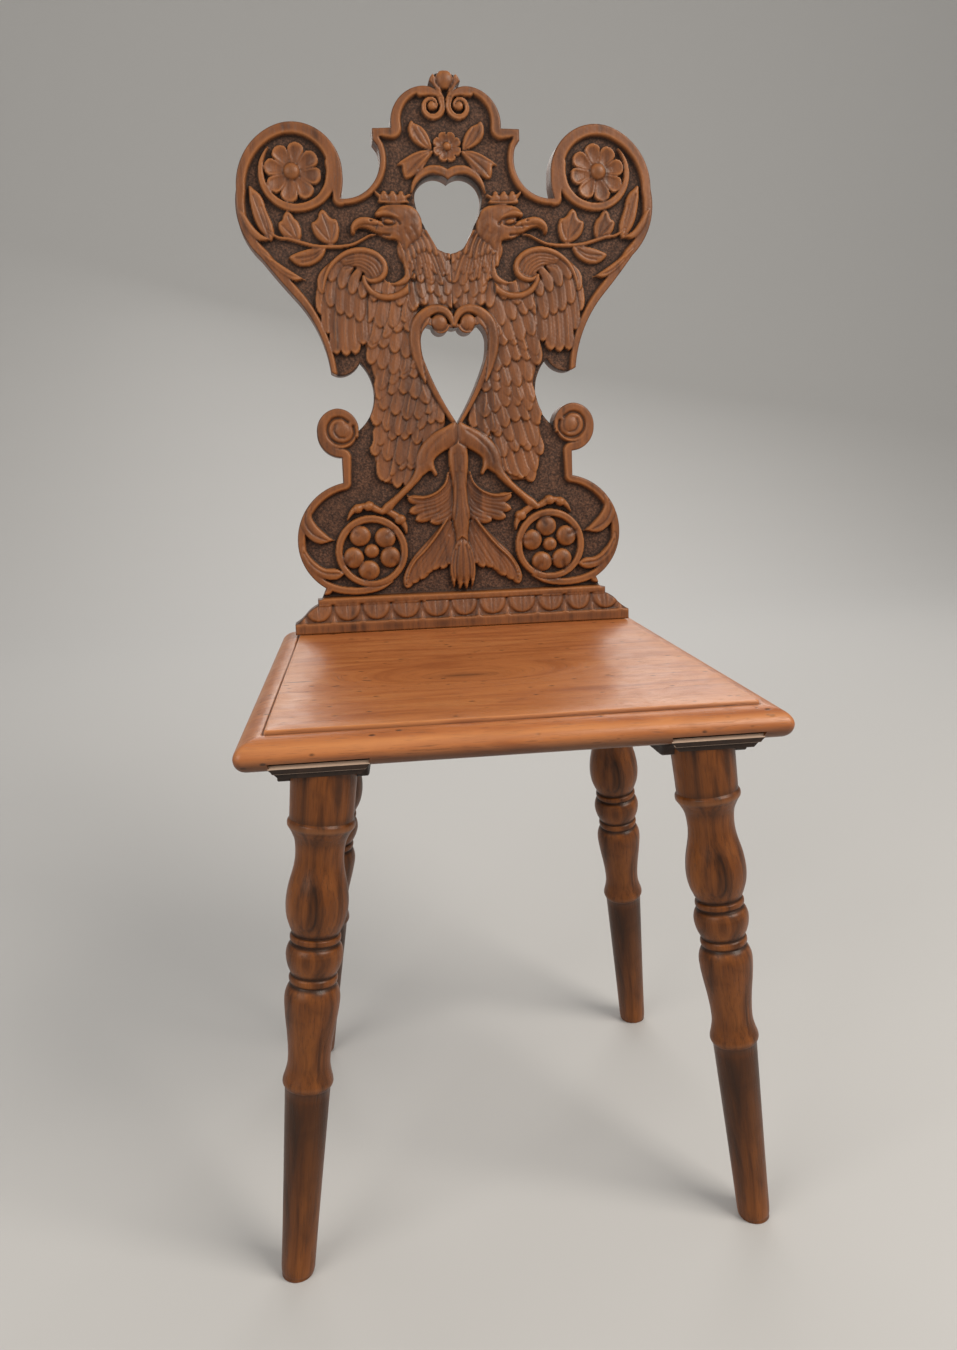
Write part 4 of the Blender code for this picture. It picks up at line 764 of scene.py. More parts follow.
def carve_acanthus(carver):
    """Stalk with a fingered leaf on each side, the fan under it and the bud."""
    for points, half in (
        ([(5, 98), (9, 82), (15, 65)], 4.6), ([(6, 101), (12, 82), (22.5, 60.5)], 4.8),
        ([(8, 104), (17, 83), (31, 60)], 4.8), ([(10, 106), (22, 84), (38, 56.5)], 4.8),
        ([(12, 108), (26, 83), (44.5, 50.5)], 4.8), ([(13, 109), (29, 85), (45, 65), (52, 46.5)], 4.8),
        ([(13.5, 110), (26, 93), (44, 73), (54, 58), (58.5, 42)], 5),
    ):
        carver.blade(points, half + 0.9, 3.2, 2.6, rib=-0.7, edge=1.6, tilt=0.2, over=False)
    carver.band([(15, 111, 1), (20, 104, 1.3), (29, 92, 1.4), (39, 80.5, 1.4), (50, 69.5, 1.3),
                 (56, 59, 1), (59, 46, 0.6)],
                6.8, flat=0.05)
    for points, half in (
        ([(4, 134), (9, 119), (18, 112.6), (32, 108.8)], 4.4),
        ([(5, 143), (11, 127), (22, 119), (34, 115.4), (47, 111.4)], 4.6),
        ([(6, 150), (12, 135), (25, 126.5), (38, 123.4), (53, 119.6)], 4.6),
        ([(7, 160), (11.5, 144), (23, 134.4), (38, 130.6), (54, 133.6)], 4.4),
    ):
        carver.blade(points, half + 0.9, 3.2, 2.6, rib=-0.7, edge=1.6, tilt=0.2, over=False)
    carver.band([(11, 158, 0.8), (14, 148, 1.2), (21.5, 140, 1.3), (33, 134.6, 1.3), (45, 134, 1.2),
                 (54, 136, 0.7)],
                6.6, flat=0.05)
    carver.pillow([(0, 198), (6, 191), (9.5, 181), (10, 168), (8, 155), (7, 142), (7.6, 128), (9.4, 118),
                   (8, 106), (6.5, 96), (6, 84), (0, 78)], 4.2, 3.8, 7, both_sides=True)
    for rows in ([(4, 176), (4.6, 158), (7, 142), (14, 127), (24, 118)],
                 [(2.6, 158), (3, 138), (5.6, 116), (13, 96)], [(0, 140), (0, 118), (0, 96)]):
        carver.cut(rows, 0.7, 1.2)
    carver.pillow([(0, 93), (6, 88), (11, 77), (13.5, 63), (12.5, 50), (9.5, 40), (9.5, 40), (7.5, 49),
                   (4, 37.8), (4, 37.8), (0, 46)], 4.6, 3.4, 8, both_sides=True)
    for rows in ([(0, 90), (0, 66), (0, 48)], [(4, 84), (7, 66), (7.4, 50)],
                 [(7.5, 80), (10.6, 64), (10, 50)]):
        carver.cut(rows, 1.3, 1.0)


def carve_lobes(carver):
    """Rose in its hoop and the leaves that curl in from the rim."""
    carver.pillow([(151, 131), (151.5, 119), (146.5, 109.5), (139, 101.5), (130.5, 94), (130.5, 94),
                   (144, 91), (154, 96), (161, 104.5), (164, 113), (161, 123)], 4.6, 2.6, 6, hollow=0.4)
    carver.cut([(157, 124), (158, 113), (151, 101.5), (138, 94.5)], 1.2, 1.0)
    carver.pillow([(162, 92), (158, 83.5), (151, 74), (141, 66.5), (129, 65), (120.5, 60), (120.5, 60),
                   (130, 54), (144, 56), (156, 65), (164, 80)], 4.6, 2.6, 6, hollow=0.4)
    carver.cut([(161, 83), (154, 71), (142, 62), (127, 60)], 1.2, 1.0)
    carver.band([(157, 65, 3.2), (150, 56.5, 3.6), (141, 49.6, 3.9), (128, 44, 4), (113, 41.6, 3.9),
                 (98, 42, 3.8), (85, 44.8, 3.2), (74, 50, 1.6)], 6.0, flat=0.5, over=False)
    hoop = [(turn, 33, 3.7 + 0.3 * math.sin(math.radians(turn))) for turn in np.linspace(0, 360, 40)]
    carver.band(rows_round(92.8, 81, hoop), 6.2, flat=0.5)
    for side, phase in ((-1, 60), (1, 95)):
        carver.half = side
        for k in range(5):
            turn = math.radians(phase + 72 * k + 5 * math.sin(3 * k + side))
            across = 92.8 + 19.5 * math.cos(turn)
            up = 81 + 19.5 * math.sin(turn)
            carver.dome(across, up, 10.4, 10.8, 3.0, 5.0, turn=turn)
            lean = turn + 0.5 * math.sin(5 * k + 2 * side)
            dent = ((across + 11 * math.cos(lean), up + 11 * math.sin(lean)),
                    (across + 3 * math.cos(lean), up + 3 * math.sin(lean)))
            carver.cut(dent, 0.9, 2.6)
        carver.half = 0
    carver.dome(92.8, 81.4, 7.4, 7.2, 3.6, 4.6)


def carve_hearts(carver):
    """Raised border along the lower heart and the scrolls that close it."""
    line = np.array([(*place, 1.0) for place in lower_heart_coarse[:-4]], float)
    chosen, u, v = carver.window(line, 10)
    gap, _, along, _ = near_line(u, v, line)
    width = 4 + 4 * np.clip(along * 1.6, 0, 1)
    carver.raise_to(chosen, 7.0 - 1.4 * np.clip(gap / width, 0, 1) ** 2, width - gap)
    carver.band([(31, 248, 1), (35.4, 262, 3.6), (38.6, 277, 5.6), (39.6, 291, 6), (37.8, 303, 5.8),
                 (31, 312.6, 5.4), (21, 318, 5), (10, 317.5, 4.6), (3, 311, 3.6), (0.5, 303, 2)], 7.4,
                flat=0.3)
    carver.dome(14.5, 305.5, 8.6, 8.8, 3.4, 4.6)
    carver.cut([(5, 304), (7.5, 311), (14, 314.6), (21.5, 312), (25, 305)], 1.6, 1.0)


def carve_scrolls(carver):
    """The scroll on each side: a groove winds in to its eye."""
    carver.sink([(87, 213), (97, 211), (100, 206), (100, 202.5), (101.2, 195.8), (104.6, 190), (109, 186),
                 (98, 182), (87, 190)])
    chosen, u, v = carver.window([(119.5, 202.5)], 24)
    gap = np.hypot(u - 119.5, v - 202.5)
    carver.raise_to(chosen, CARVING_DEPTH, 17.5 - gap, soft=2.2)
    carver.cut([(105.4, 207), (104.6, 200), (108.4, 193.4), (116, 190.2), (124.6, 192), (130.4, 198.6),
                (130.6, 207.4), (125.4, 214.4), (117, 215.6), (110.6, 211.6)], 3.0, 1.5)
    carver.dome(116.5, 203.2, 8.6, 8.8, 4.4, 3.2, over=False)
    carver.cut([(123.4, 209), (124.6, 202.6), (121, 197), (115, 195.8)], 1.3, 0.9)


def carve_foot(carver):
    """Fillets and the hanging leaves of the moulding that stands on the seat."""
    lines = (-6, 9.3, 10.4, 11.2, 13, 16, 20, 24, 27.2, 28.2, 29, 29.6, 34.4, 35.2, 36.4, 37.6)
    heights = (10.5, 10.5, 10.1, 7.4, 7.2, 6.8, 6.0, 5.0, 4.2, 4.0, 6.2, 7.0, 7.0, 6.2, 1.6, 0)
    low = carver.up < lines[-1]
    carver.height[low] = np.interp(carver.up[low], lines, heights)
    carver.worked[low] = 1
    leaf_half = 15.1
    leaf_root = 28.6
    leaf_length = 16.6
    chosen = np.flatnonzero((carver.up > 10.5) & (carver.up < leaf_root))
    share = (carver.across[chosen] + 0.8 * np.sin(carver.across[chosen] / 19)) / (2 * leaf_half)
    beside = np.abs(share - np.round(share)) * 2
    down = np.clip((leaf_root - carver.up[chosen]) / leaf_length, 0, 1)
    edge = np.sqrt(1 - down ** 2.2) * 0.96
    inwards = (edge - beside) * leaf_half
    fold = np.exp(-(beside * leaf_half) ** 2)
    ribs = np.cos((beside / np.maximum(edge, 0.1)) * 2.5 * math.pi)
    own = carver.height[chosen] + 2.6 * np.sqrt(np.clip(inwards / 5, 0, 1)) - 0.9 * fold + 0.25 * ribs
    carver.lay(chosen, own, inwards)
    dart = 0.4 * (20 - carver.up[chosen]) - np.abs(beside - 1) * leaf_half
    carver.height[chosen] += np.clip(0.7 * dart, 0, 1.6)


def carved_heights(across, up):
    """Heights over the ground and where the chisel left a finished surface, at places on the face."""
    carver = Carver(across, up)
    carve_rims(carver)
    carve_ears(carver)
    carve_crest(carver)
    carve_vine(carver)
    carve_body(carver)
    carve_wings(carver)
    carve_breast(carver)
    carve_scrolls(carver)
    carve_head(carver)
    carve_hearts(carver)
    carve_lobes(carver)
    carve_acanthus(carver)
    carve_legs(carver)
    carve_foot(carver)
    # The chisel leaves a faint ripple even where it has smoothed the wood
    carver.height += 0.07 * np.sin(across * 0.9 + 3 * np.sin(up * 0.35)) * np.sin(up * 0.8)
    carver.height = np.clip(carver.height, GROUND_LOWEST, RELIEF_HIGHEST)
    return carver.height, carver.worked


def edge_distance(u, v):
    """Distance to the outline or a hole, worked out only near them."""
    gap = np.full(u.shape, FAR_FROM_EDGE)
    for loop in loops:
        for a, b in zip(loop, np.roll(loop, -1, axis=0)):
            low = np.minimum(a, b) - EDGE_REACH
            high = np.maximum(a, b) + EDGE_REACH
            near = np.flatnonzero((u > low[0]) & (u < high[0]) & (v > low[1]) & (v < high[1]))
            if len(near):
                run = b - a
                off_u = u[near] - a[0]
                off_v = v[near] - a[1]
                share = np.clip((off_u * run[0] + off_v * run[1]) / (run @ run + 1e-9), 0, 1)
                here = np.hypot(off_u - share * run[0], off_v - share * run[1])
                gap[near] = np.minimum(gap[near], here)
    return gap


# Material nodes

def add_node(tree, kind, settings, inputs, output=0):
    """Adds a shader node and sets its properties; each input, by name or number, gets a link or a value.
    Returns the output of that name or number."""
    node = tree.nodes.new("ShaderNode" + kind)
    for name, value in settings.items():
        if name == "stops":
            while len(node.color_ramp.elements) < len(value):
                node.color_ramp.elements.new(0.5)
            for element, (place, text) in zip(node.color_ramp.elements, value):
                element.position = place
                element.color = colour(text)
        else:
            setattr(node, name, value)
    for name, value in inputs.items():
        if isinstance(value, bpy.types.NodeSocket):
            tree.links.new(value, node.inputs[name])
        else:
            node.inputs[name].default_value = value
    return node.outputs[output]


def spot_gap(tree, place, spot, reach, turn=0.0):
    """Distance from a spot, in shares of its reach along each axis."""
    turned = Vector([-middle / length for middle, length in zip(spot, reach)])
    turned.rotate(Matrix.Rotation(turn, 3, "Z"))
    near = add_node(tree, "Mapping", {}, {
        "Vector": place, "Scale": [1 / length for length in reach], "Rotation": (0, 0, turn),
        "Location": turned,
    })
    return add_node(tree, "VectorMath", {"operation": "LENGTH"}, {"Vector": near}, "Value")


def round_knot(tree, place):
    """The seat's coordinates, bent so that the grain runs round its knot."""
    gap = spot_gap(tree, place, SEAT_KNOT, (SEAT_KNOT_REACH * 3, SEAT_KNOT_REACH, 1))
    ring = add_node(tree, "Math", {"operation": "MULTIPLY"}, {0: gap, 1: SEAT_KNOT_REACH})
    near = add_node(tree, "MapRange", {}, {"Value": gap, "From Min": 1.4, "From Max": 0.3})
    parts = add_node(tree, "SeparateXYZ", {}, {"Vector": place}).node.outputs
    across = add_node(tree, "Mix", {}, {"Factor": near, "A": parts["Y"], "B": ring})
    return add_node(tree, "CombineXYZ", {}, {"X": parts["X"], "Y": across, "Z": parts["Z"]})


def seat_marks(tree, place):
    """What long use left on the seat, as (share, colour) coats: its knot and crack, the paler place where
    people sit, and small dark pits, which come last."""
    coats = []
    for spot, reach, turn, most, shade in SEAT_MARKS:
        gap = spot_gap(tree, place, spot, reach, turn)
        share = add_node(tree, "MapRange", {}, {
            "Value": gap, "From Min": 1, "From Max": 0.35, "To Max": most,
        })
        coats.append((share, colour(shade)))
    drawn = add_node(tree, "Mapping", {}, {"Vector": place, "Scale": (0.5, 1, 1)})
    dots = add_node(tree, "TexVoronoi", {}, {"Vector": drawn, "Scale": 1 / (PIT_PITCH_MM * MM)}, "Distance")
    dots = add_node(tree, "MapRange", {}, {"Value": dots, "From Min": 0.2, "From Max": 0.1, "To Max": 0.8})
    groups = add_node(tree, "TexNoise", {}, {
        "Vector": place, "Scale": 1 / (PIT_GROUP_MM * MM), "Detail": 2, "Roughness": 0.55,
    })
    groups = add_node(tree, "MapRange", {}, {"Value": groups, "From Min": 0.47, "From Max": 0.56})
    pits = add_node(tree, "Math", {"operation": "MULTIPLY"}, {0: dots, 1: groups})
    return coats + [(pits, colour("#38200f"))]


def walnut(name, piece, grain, tones, roughness, coat=0.0):
    """Walnut, its grain along the axis number: soft bands in three tones, fine growth lines, short open
    pores, old stains, edges painted pale as wear and a highlight, and painted shade in the hollows."""
    material = bpy.data.materials.new(name)
    material.use_nodes = True
    tree = material.node_tree
    place = add_node(tree, "TexCoord", {}, {}, "Object")
    flow = round_knot(tree, place) if piece == "seat" else place
    drawn = {}
    for pattern, (squeeze, width_mm, detail, rough, distortion) in WOOD_PATTERNS.items():
        factors = [1, 1, 1]
        factors[grain] = squeeze
        along = add_node(tree, "Mapping", {}, {
            "Vector": place if pattern == "stains" else flow, "Scale": factors,
        })
        drawn[pattern] = add_node(tree, "TexNoise", {}, {
            "Vector": along, "Scale": 1 / (width_mm * MM), "Detail": detail, "Roughness": rough,
            "Distortion": distortion,
        })
    pores = add_node(tree, "MapRange", {}, {"Value": drawn["pores"], "From Min": 0.58, "From Max": 0.7})
    height = add_node(tree, "Math", {"operation": "MULTIPLY_ADD"}, {0: pores, 1: -0.8, 2: drawn["lines"]})
    gloss = add_node(tree, "MapRange", {}, {
        "Value": drawn["stains"], "From Min": 0.3, "From Max": 0.75,
        "To Min": roughness - 0.06, "To Max": roughness + 0.12,
    })
    dark = colour(tones[0])
    stops = tuple(zip((0.3, 0.48, 0.7), tones))
    tone = add_node(tree, "ValToRGB", {"stops": stops}, {"Fac": drawn["bands"]})
    coats = [
        (add_node(tree, "MapRange", {}, {
            "Value": drawn["lines"], "From Min": 0.48, "From Max": 0.72,
            "To Max": 0.22 if piece == "seat" else 0.45,
        }), dark),
        (add_node(tree, "MapRange", {}, {
            "Value": drawn["stains"], "From Min": 0.52, "From Max": 0.75, "To Max": 0.4,
        }), dark),
        (add_node(tree, "Math", {"operation": "MULTIPLY"}, {0: pores, 1: 0.4}), colour("#2a170d")),
    ]
    if piece == "seat":
        coats += seat_marks(tree, place)
        pits = add_node(tree, "Math", {"operation": "MULTIPLY"}, {0: coats[-1][0], 1: 2})
        height = add_node(tree, "Math", {"operation": "SUBTRACT"}, {0: height, 1: pits})
    if piece == "leg":
        # The plain shafts are darker than the turned part, less so near the floor
        up = add_node(tree, "SeparateXYZ", {}, {"Vector": place}, "Z")
        shaft = add_node(tree, "MapRange", {}, {"Value": up, "From Min": 0.17, "From Max": 0.155})
        faded = add_node(tree, "MapRange", {}, {
            "Value": up, "From Min": 0.01, "From Max": 0.13, "To Max": 0.7,
        })
        coats.append((add_node(tree, "Math", {"operation": "MULTIPLY"}, {0: shaft, 1: faded}), dark))
    if piece == "back":
        # The sunk ground is pricked all over with a punch, dull and greyer than what stands on it
        worked = add_node(tree, "Attribute", {"attribute_name": "worked"}, {}, "Fac")
        bare = add_node(tree, "Math", {"operation": "SUBTRACT"}, {0: 1, 1: worked})
        blotches = add_node(tree, "TexNoise", {}, {
            "Vector": place, "Scale": 1 / (BLOTCH_MM * MM), "Detail": 3, "Roughness": 0.6,
        })
        stops = ((0.36, "#2d1d16"), (0.52, "#4d3427"), (0.66, "#684937"))
        coats.append((bare, add_node(tree, "ValToRGB", {"stops": stops}, {"Fac": blotches})))
        punched = add_node(tree, "TexVoronoi", {}, {
            "Vector": place, "Scale": 1 / (PUNCH_MM * MM),
        }, "Distance")
        deep = add_node(tree, "Math", {"operation": "MULTIPLY"}, {0: bare, 1: 3.5})
        height = add_node(tree, "Math", {"operation": "MULTIPLY_ADD"}, {0: punched, 1: deep, 2: height})
        gloss = add_node(tree, "Math", {"operation": "MULTIPLY_ADD"}, {0: bare, 1: 0.3, 2: gloss})
    # What stands high is painted pale, as wear and a highlight; hollows, coves and undersides get painted
    # shade
    for mark, most, shade in (("crest", 0.7, WORN_AND_HIGHLIGHTED[piece]), ("hollow", 0.85, "#24150d")):
        seen = add_node(tree, "Attribute", {"attribute_name": mark}, {}, "Fac")
        share = add_node(tree, "Math", {"operation": "MULTIPLY", "use_clamp": True}, {0: seen, 1: most})
        coats.append((share, colour(shade)))
    for share, shade in coats:
        tone = add_node(tree, "Mix", {"data_type": "RGBA"}, {0: share, 6: tone, 7: shade}, 2)
    bump = add_node(tree, "Bump", {}, {"Height": height, "Strength": 0.5, "Distance": GRAIN_RELIEF_MM * MM})
    shader = tree.nodes["Principled BSDF"]
    for socket, value in (("Base Color", tone), ("Roughness", gloss), ("Normal", bump)):
        tree.links.new(value, shader.inputs[socket])
    shader.inputs["Specular IOR Level"].default_value = 0.25 if piece == "leg" else 0.4
    shader.inputs["Coat Weight"].default_value = coat
    shader.inputs["Coat Roughness"].default_value = 0.2
    return material


# The carved plank

def plank_matrix():
    """Where the plank's foot stands on the seat, and its lean."""
    place = Vector((0, CHAIR_SHIFT + SEAT_DEPTH / 2 - BACK_SETBACK, SEAT_TOP))
    return Matrix.Translation(place) @ Matrix.Rotation(-BACK_LEAN, 4, "X")


def grid_places():
    """A square grid of places inside the wood, as an index table and coordinates."""
    columns = int(PLANK_HALF / GRID_PITCH)
    rows = int(PLANK_HEIGHT / GRID_PITCH)
    u = np.arange(-columns, columns + 1) * GRID_PITCH
    v = (np.arange(rows) + GRID_START) * GRID_PITCH
    grid_u, grid_v = np.meshgrid(u, v)
    flat_u = grid_u.ravel()
    flat_v = grid_v.ravel()
    kept = on_wood(flat_u, flat_v)
    kept[kept] = edge_distance(flat_u[kept], flat_v[kept]) > GRID_PITCH * GRID_CLEARANCE
    table = np.full(flat_u.shape, -1)
    table[kept] = np.arange(kept.sum())
    return table.reshape(grid_u.shape), flat_u[kept], flat_v[kept]


def joined_quads(table):
    """Quads of the grid whose four corners are all wood, and the edges round them."""
    a, b, c, d = table[:-1, :-1], table[:-1, 1:], table[1:, 1:], table[1:, :-1]
    full = (a >= 0) & (b >= 0) & (c >= 0) & (d >= 0)
    quads = np.stack([a[full], b[full], c[full], d[full]], axis=1)
    edges = np.concatenate([quads[:, [0, 1]], quads[:, [1, 2]], quads[:, [2, 3]], quads[:, [3, 0]]])
    ordered = np.sort(edges, axis=1)
    _, first, counts = np.unique(ordered, axis=0, return_index=True, return_counts=True)
    return quads, full, ordered[first[counts == 1]]


def border_triangles(grid_u, grid_v, table, full, rim_edges):
    """Triangles between the grid's quads and the outline and holes, whose points come after the grid's."""
    count = len(grid_u)
    lone = np.setdiff1d(np.arange(count), table[used_corners(table, full)])
    loose = np.unique(np.concatenate([rim_edges.ravel(), lone]))
    rim = np.concatenate(loops)
    places = np.concatenate([np.stack([grid_u[loose], grid_v[loose]], axis=1), rim])
    names = np.concatenate([loose, count + np.arange(len(rim))])
    place_of = {int(name): k for k, name in enumerate(loose)}
    edges = [(place_of[int(p)], place_of[int(q)]) for p, q in rim_edges]
    edges += [(len(loose) + p, len(loose) + q) for p, q in loop_edges()]
    found = delaunay_2d_cdt([Vector(map(float, place)) for place in places], edges, [], 0, SAME_PLACE)
    corner_places = np.array([tuple(place) for place in found[0]])
    source = [min(origin) if origin else -1 for origin in found[3]]
    faces = np.array([face for face in found[2] if len(face) == 3])
    middles = corner_places[faces].mean(axis=1)
    wanted = on_wood(middles[:, 0], middles[:, 1])
    column = np.floor(middles[:, 0] / GRID_PITCH).astype(int) + int(PLANK_HALF / GRID_PITCH)
    row = np.floor(middles[:, 1] / GRID_PITCH - GRID_START).astype(int)
    held = (row >= 0) & (row < full.shape[0]) & (column >= 0) & (column < full.shape[1])
    in_quad = np.zeros(len(faces), bool)
    in_quad[held] = full[row[held], column[held]]
    chosen = faces[wanted & ~in_quad]
    return [tuple(int(names[source[k]]) for k in face) for face in chosen]


def used_corners(table, full):
    """Which places of the grid belong to a quad."""
    used = np.zeros(table.shape, bool)
    used[:-1, :-1] |= full
    used[:-1, 1:] |= full
    used[1:, 1:] |= full
    used[1:, :-1] |= full
    return used


def neighbour_mean(values, edges, rounds):
    """Values averaged over their neighbours along the edges, some rounds over."""
    count = np.bincount(edges.ravel(), minlength=len(values)) + 1
    for _ in range(rounds):
        first = np.bincount(edges[:, 0], values[edges[:, 1]], len(values))
        second = np.bincount(edges[:, 1], values[edges[:, 0]], len(values))
        values = (values + first + second) / count
    return values


def carved_back():
    """The plank: carved face on a fine grid, straight sawn walls and a flat back."""
    table, grid_u, grid_v = grid_places()
    quads, full, rim_edges = joined_quads(table)
    triangles = border_triangles(grid_u, grid_v, table, full, rim_edges)
    rim = np.concatenate(loops)
    u = np.concatenate([grid_u, rim[:, 0]])
    v = np.concatenate([grid_v, rim[:, 1]])
    height, worked = carved_heights(u, v)
    gap = np.concatenate([edge_distance(grid_u, grid_v), np.zeros(len(rim))])
    worn = np.clip(EDGE_WEAR - gap, 0, EDGE_WEAR)
    height -= EDGE_WEAR - np.sqrt(EDGE_WEAR ** 2 - worn ** 2)
    depth = CARVING_DEPTH - height
    front = np.stack([u, depth, v], axis=1)
    back = np.stack([rim[:, 0], np.full(len(rim), BACK_THICKNESS, float), rim[:, 1]], axis=1)
    places = np.concatenate([front, back])
    at_foot = places[:, 2] < HAIR
    low = places[:, 2] < FOOT_BAND
    underside = (GAP + places[low, 1] * math.sin(BACK_LEAN)) / math.cos(BACK_LEAN)
    places[low, 2] = underside + places[low, 2] * (1 - underside / FOOT_BAND)
    faces = [tuple(map(int, quad)) for quad in quads] + triangles
    outline_edges = []
    for p, q in loop_edges():
        here = len(grid_u) + p
        following = len(grid_u) + q
        faces.append((here, following, following + len(rim), here + len(rim)))
        outline_edges += [(here, following), (here + len(rim), following + len(rim))]
    found = delaunay_2d_cdt([Vector(map(float, place)) for place in rim], loop_edges(), [], 0, SAME_PLACE)
    corners = np.array([tuple(place) for place in found[0]])
    source = [min(origin) for origin in found[3]]
    base = len(front)
    middles = np.array([corners[list(face)].mean(axis=0) for face in found[2]])
    for face, kept in zip(found[2], on_wood(middles[:, 0], middles[:, 1])):
        if kept:
            faces.append(tuple(base + source[k] for k in reversed(face)))
    mesh = bpy.data.meshes.new("carved_back")
    mesh.from_pydata((places * MM).tolist(), [], faces)
    mesh.validate()
    turn_outwards(mesh)
    edges = np.zeros(len(mesh.edges) * 2, int)
    mesh.edges.foreach_get("vertices", edges)
    edges = edges.reshape(-1, 2)
    sharp = {tuple(sorted(edge)) for edge in outline_edges}
    flags = [tuple(sorted(map(int, edge))) in sharp for edge in edges]
    mesh.attributes.new("sharp_edge", "BOOLEAN", "EDGE").data.foreach_set("value", flags)
    # A crest gets wear and a painted highlight, a hollow gets painted shade, from its height against the
    # mean round it
    levels = np.concatenate([height, np.full(len(back), CARVING_DEPTH - 1.0)])
    levels[at_foot] = CARVING_DEPTH
    on_face = (edges < len(front)).all(axis=1)
    wide = neighbour_mean(levels, edges[on_face], WEAR_ROUNDS)
    crest = np.clip((levels - wide) / CREST_SPAN, 0, 1)
    hollow = np.clip((wide - levels - HOLLOW_FROM) / HOLLOW_SPAN, 0, 1)
    crest[len(front):] = 0
    hollow[len(front):] = 0
    store(mesh, "worked", np.concatenate([worked, np.ones(len(back))]))
    store(mesh, "crest", crest)
    store(mesh, "hollow", hollow)
    made = bpy.data.objects.new("carved_back", mesh)
    bpy.context.scene.collection.objects.link(made)
    made.matrix_world = plank_matrix()
    return made


def loop_edges():
    """Edges of the outline and of both hearts, as pairs of places in the joined loops."""
    edges = []
    start = 0
    for loop in loops:
        edges += [(start + k, start + (k + 1) % len(loop)) for k in range(len(loop))]
        start += len(loop)
    return edges


def turn_outwards(mesh):
    """Turns the front of every face outwards and shades the mesh smooth."""
    shape = bmesh.new()
    shape.from_mesh(mesh)
    bmesh.ops.recalc_face_normals(shape, faces=shape.faces)
    shape.to_mesh(mesh)
    shape.free()
    mesh.shade_smooth()


def store(mesh, name, values):
    """Keeps a number for each of the mesh's points, for its material to read."""
    mesh.attributes.new(name, "FLOAT", "POINT").data.foreach_set("value", np.asarray(values, np.float32))


# Seat, battens, legs and tenons

def show(piece, wood, node=None):
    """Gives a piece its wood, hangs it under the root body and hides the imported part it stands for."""
    piece.data.materials.append(wood)
    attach(piece, "root")
    if node:
        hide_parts(node)


def add_piece(name, places, faces, crease=30):
    """An object from places in metres and faces, smooth but for its real edges."""
    mesh = bpy.data.meshes.new(name)
    mesh.from_pydata([tuple(map(float, place)) for place in places], [], faces)
    turn_outwards(mesh)
    mesh.set_sharp_from_angle(angle=math.radians(crease))
    made = bpy.data.objects.new(name, mesh)
    bpy.context.scene.collection.objects.link(made)
    return made


def joined_rings(rings):
    """Places and faces of a closed body lofted through rings with equally many places."""
    count = len(rings[0])
    places = [place for ring in rings for place in ring]
    faces = [tuple(range(count)), tuple(reversed(range(len(places) - count, len(places))))]
    for level in range(len(rings) - 1):
        for k in range(count):
            following = (k + 1) % count
            low = level * count
            faces.append((low + k, low + following, low + count + following, low + count + k))
    return places, faces


def bevelled(piece, width):
    """Eases a sawn piece's edges."""
    modifier = piece.modifiers.new("eased_edges", "BEVEL")
    modifier.width = width
    modifier.segments = 2
    modifier.limit_method = "ANGLE"
    modifier.angle_limit = math.radians(30)
    modifier.harden_normals = True


def nose_stations():
    """Side view of a batten's front end: places from front to back and the underside's height there."""
    front = -SEAT_DEPTH / 2 + BATTEN_FRONT_SETBACK
    lip = SEAT_TOP - SEAT_THICKNESS + BATTEN_LET_IN - BATTEN_LIP
    shares = smooth_line(BATTEN_NOSE_CURVE, 3)
    return [
        (front + BATTEN_NOSE * along, lip - (lip - UNDER_BATTEN) * min(down, 1)) for along, down in shares
    ]


def leg_cope(along):
    """Height of a leg's shoulder: it is fitted round the nose of its batten."""
    places, heights = zip(*nose_stations())
    return min(float(np.interp(along, places, heights)), LEG_COPE_TOP) - GAP * MM


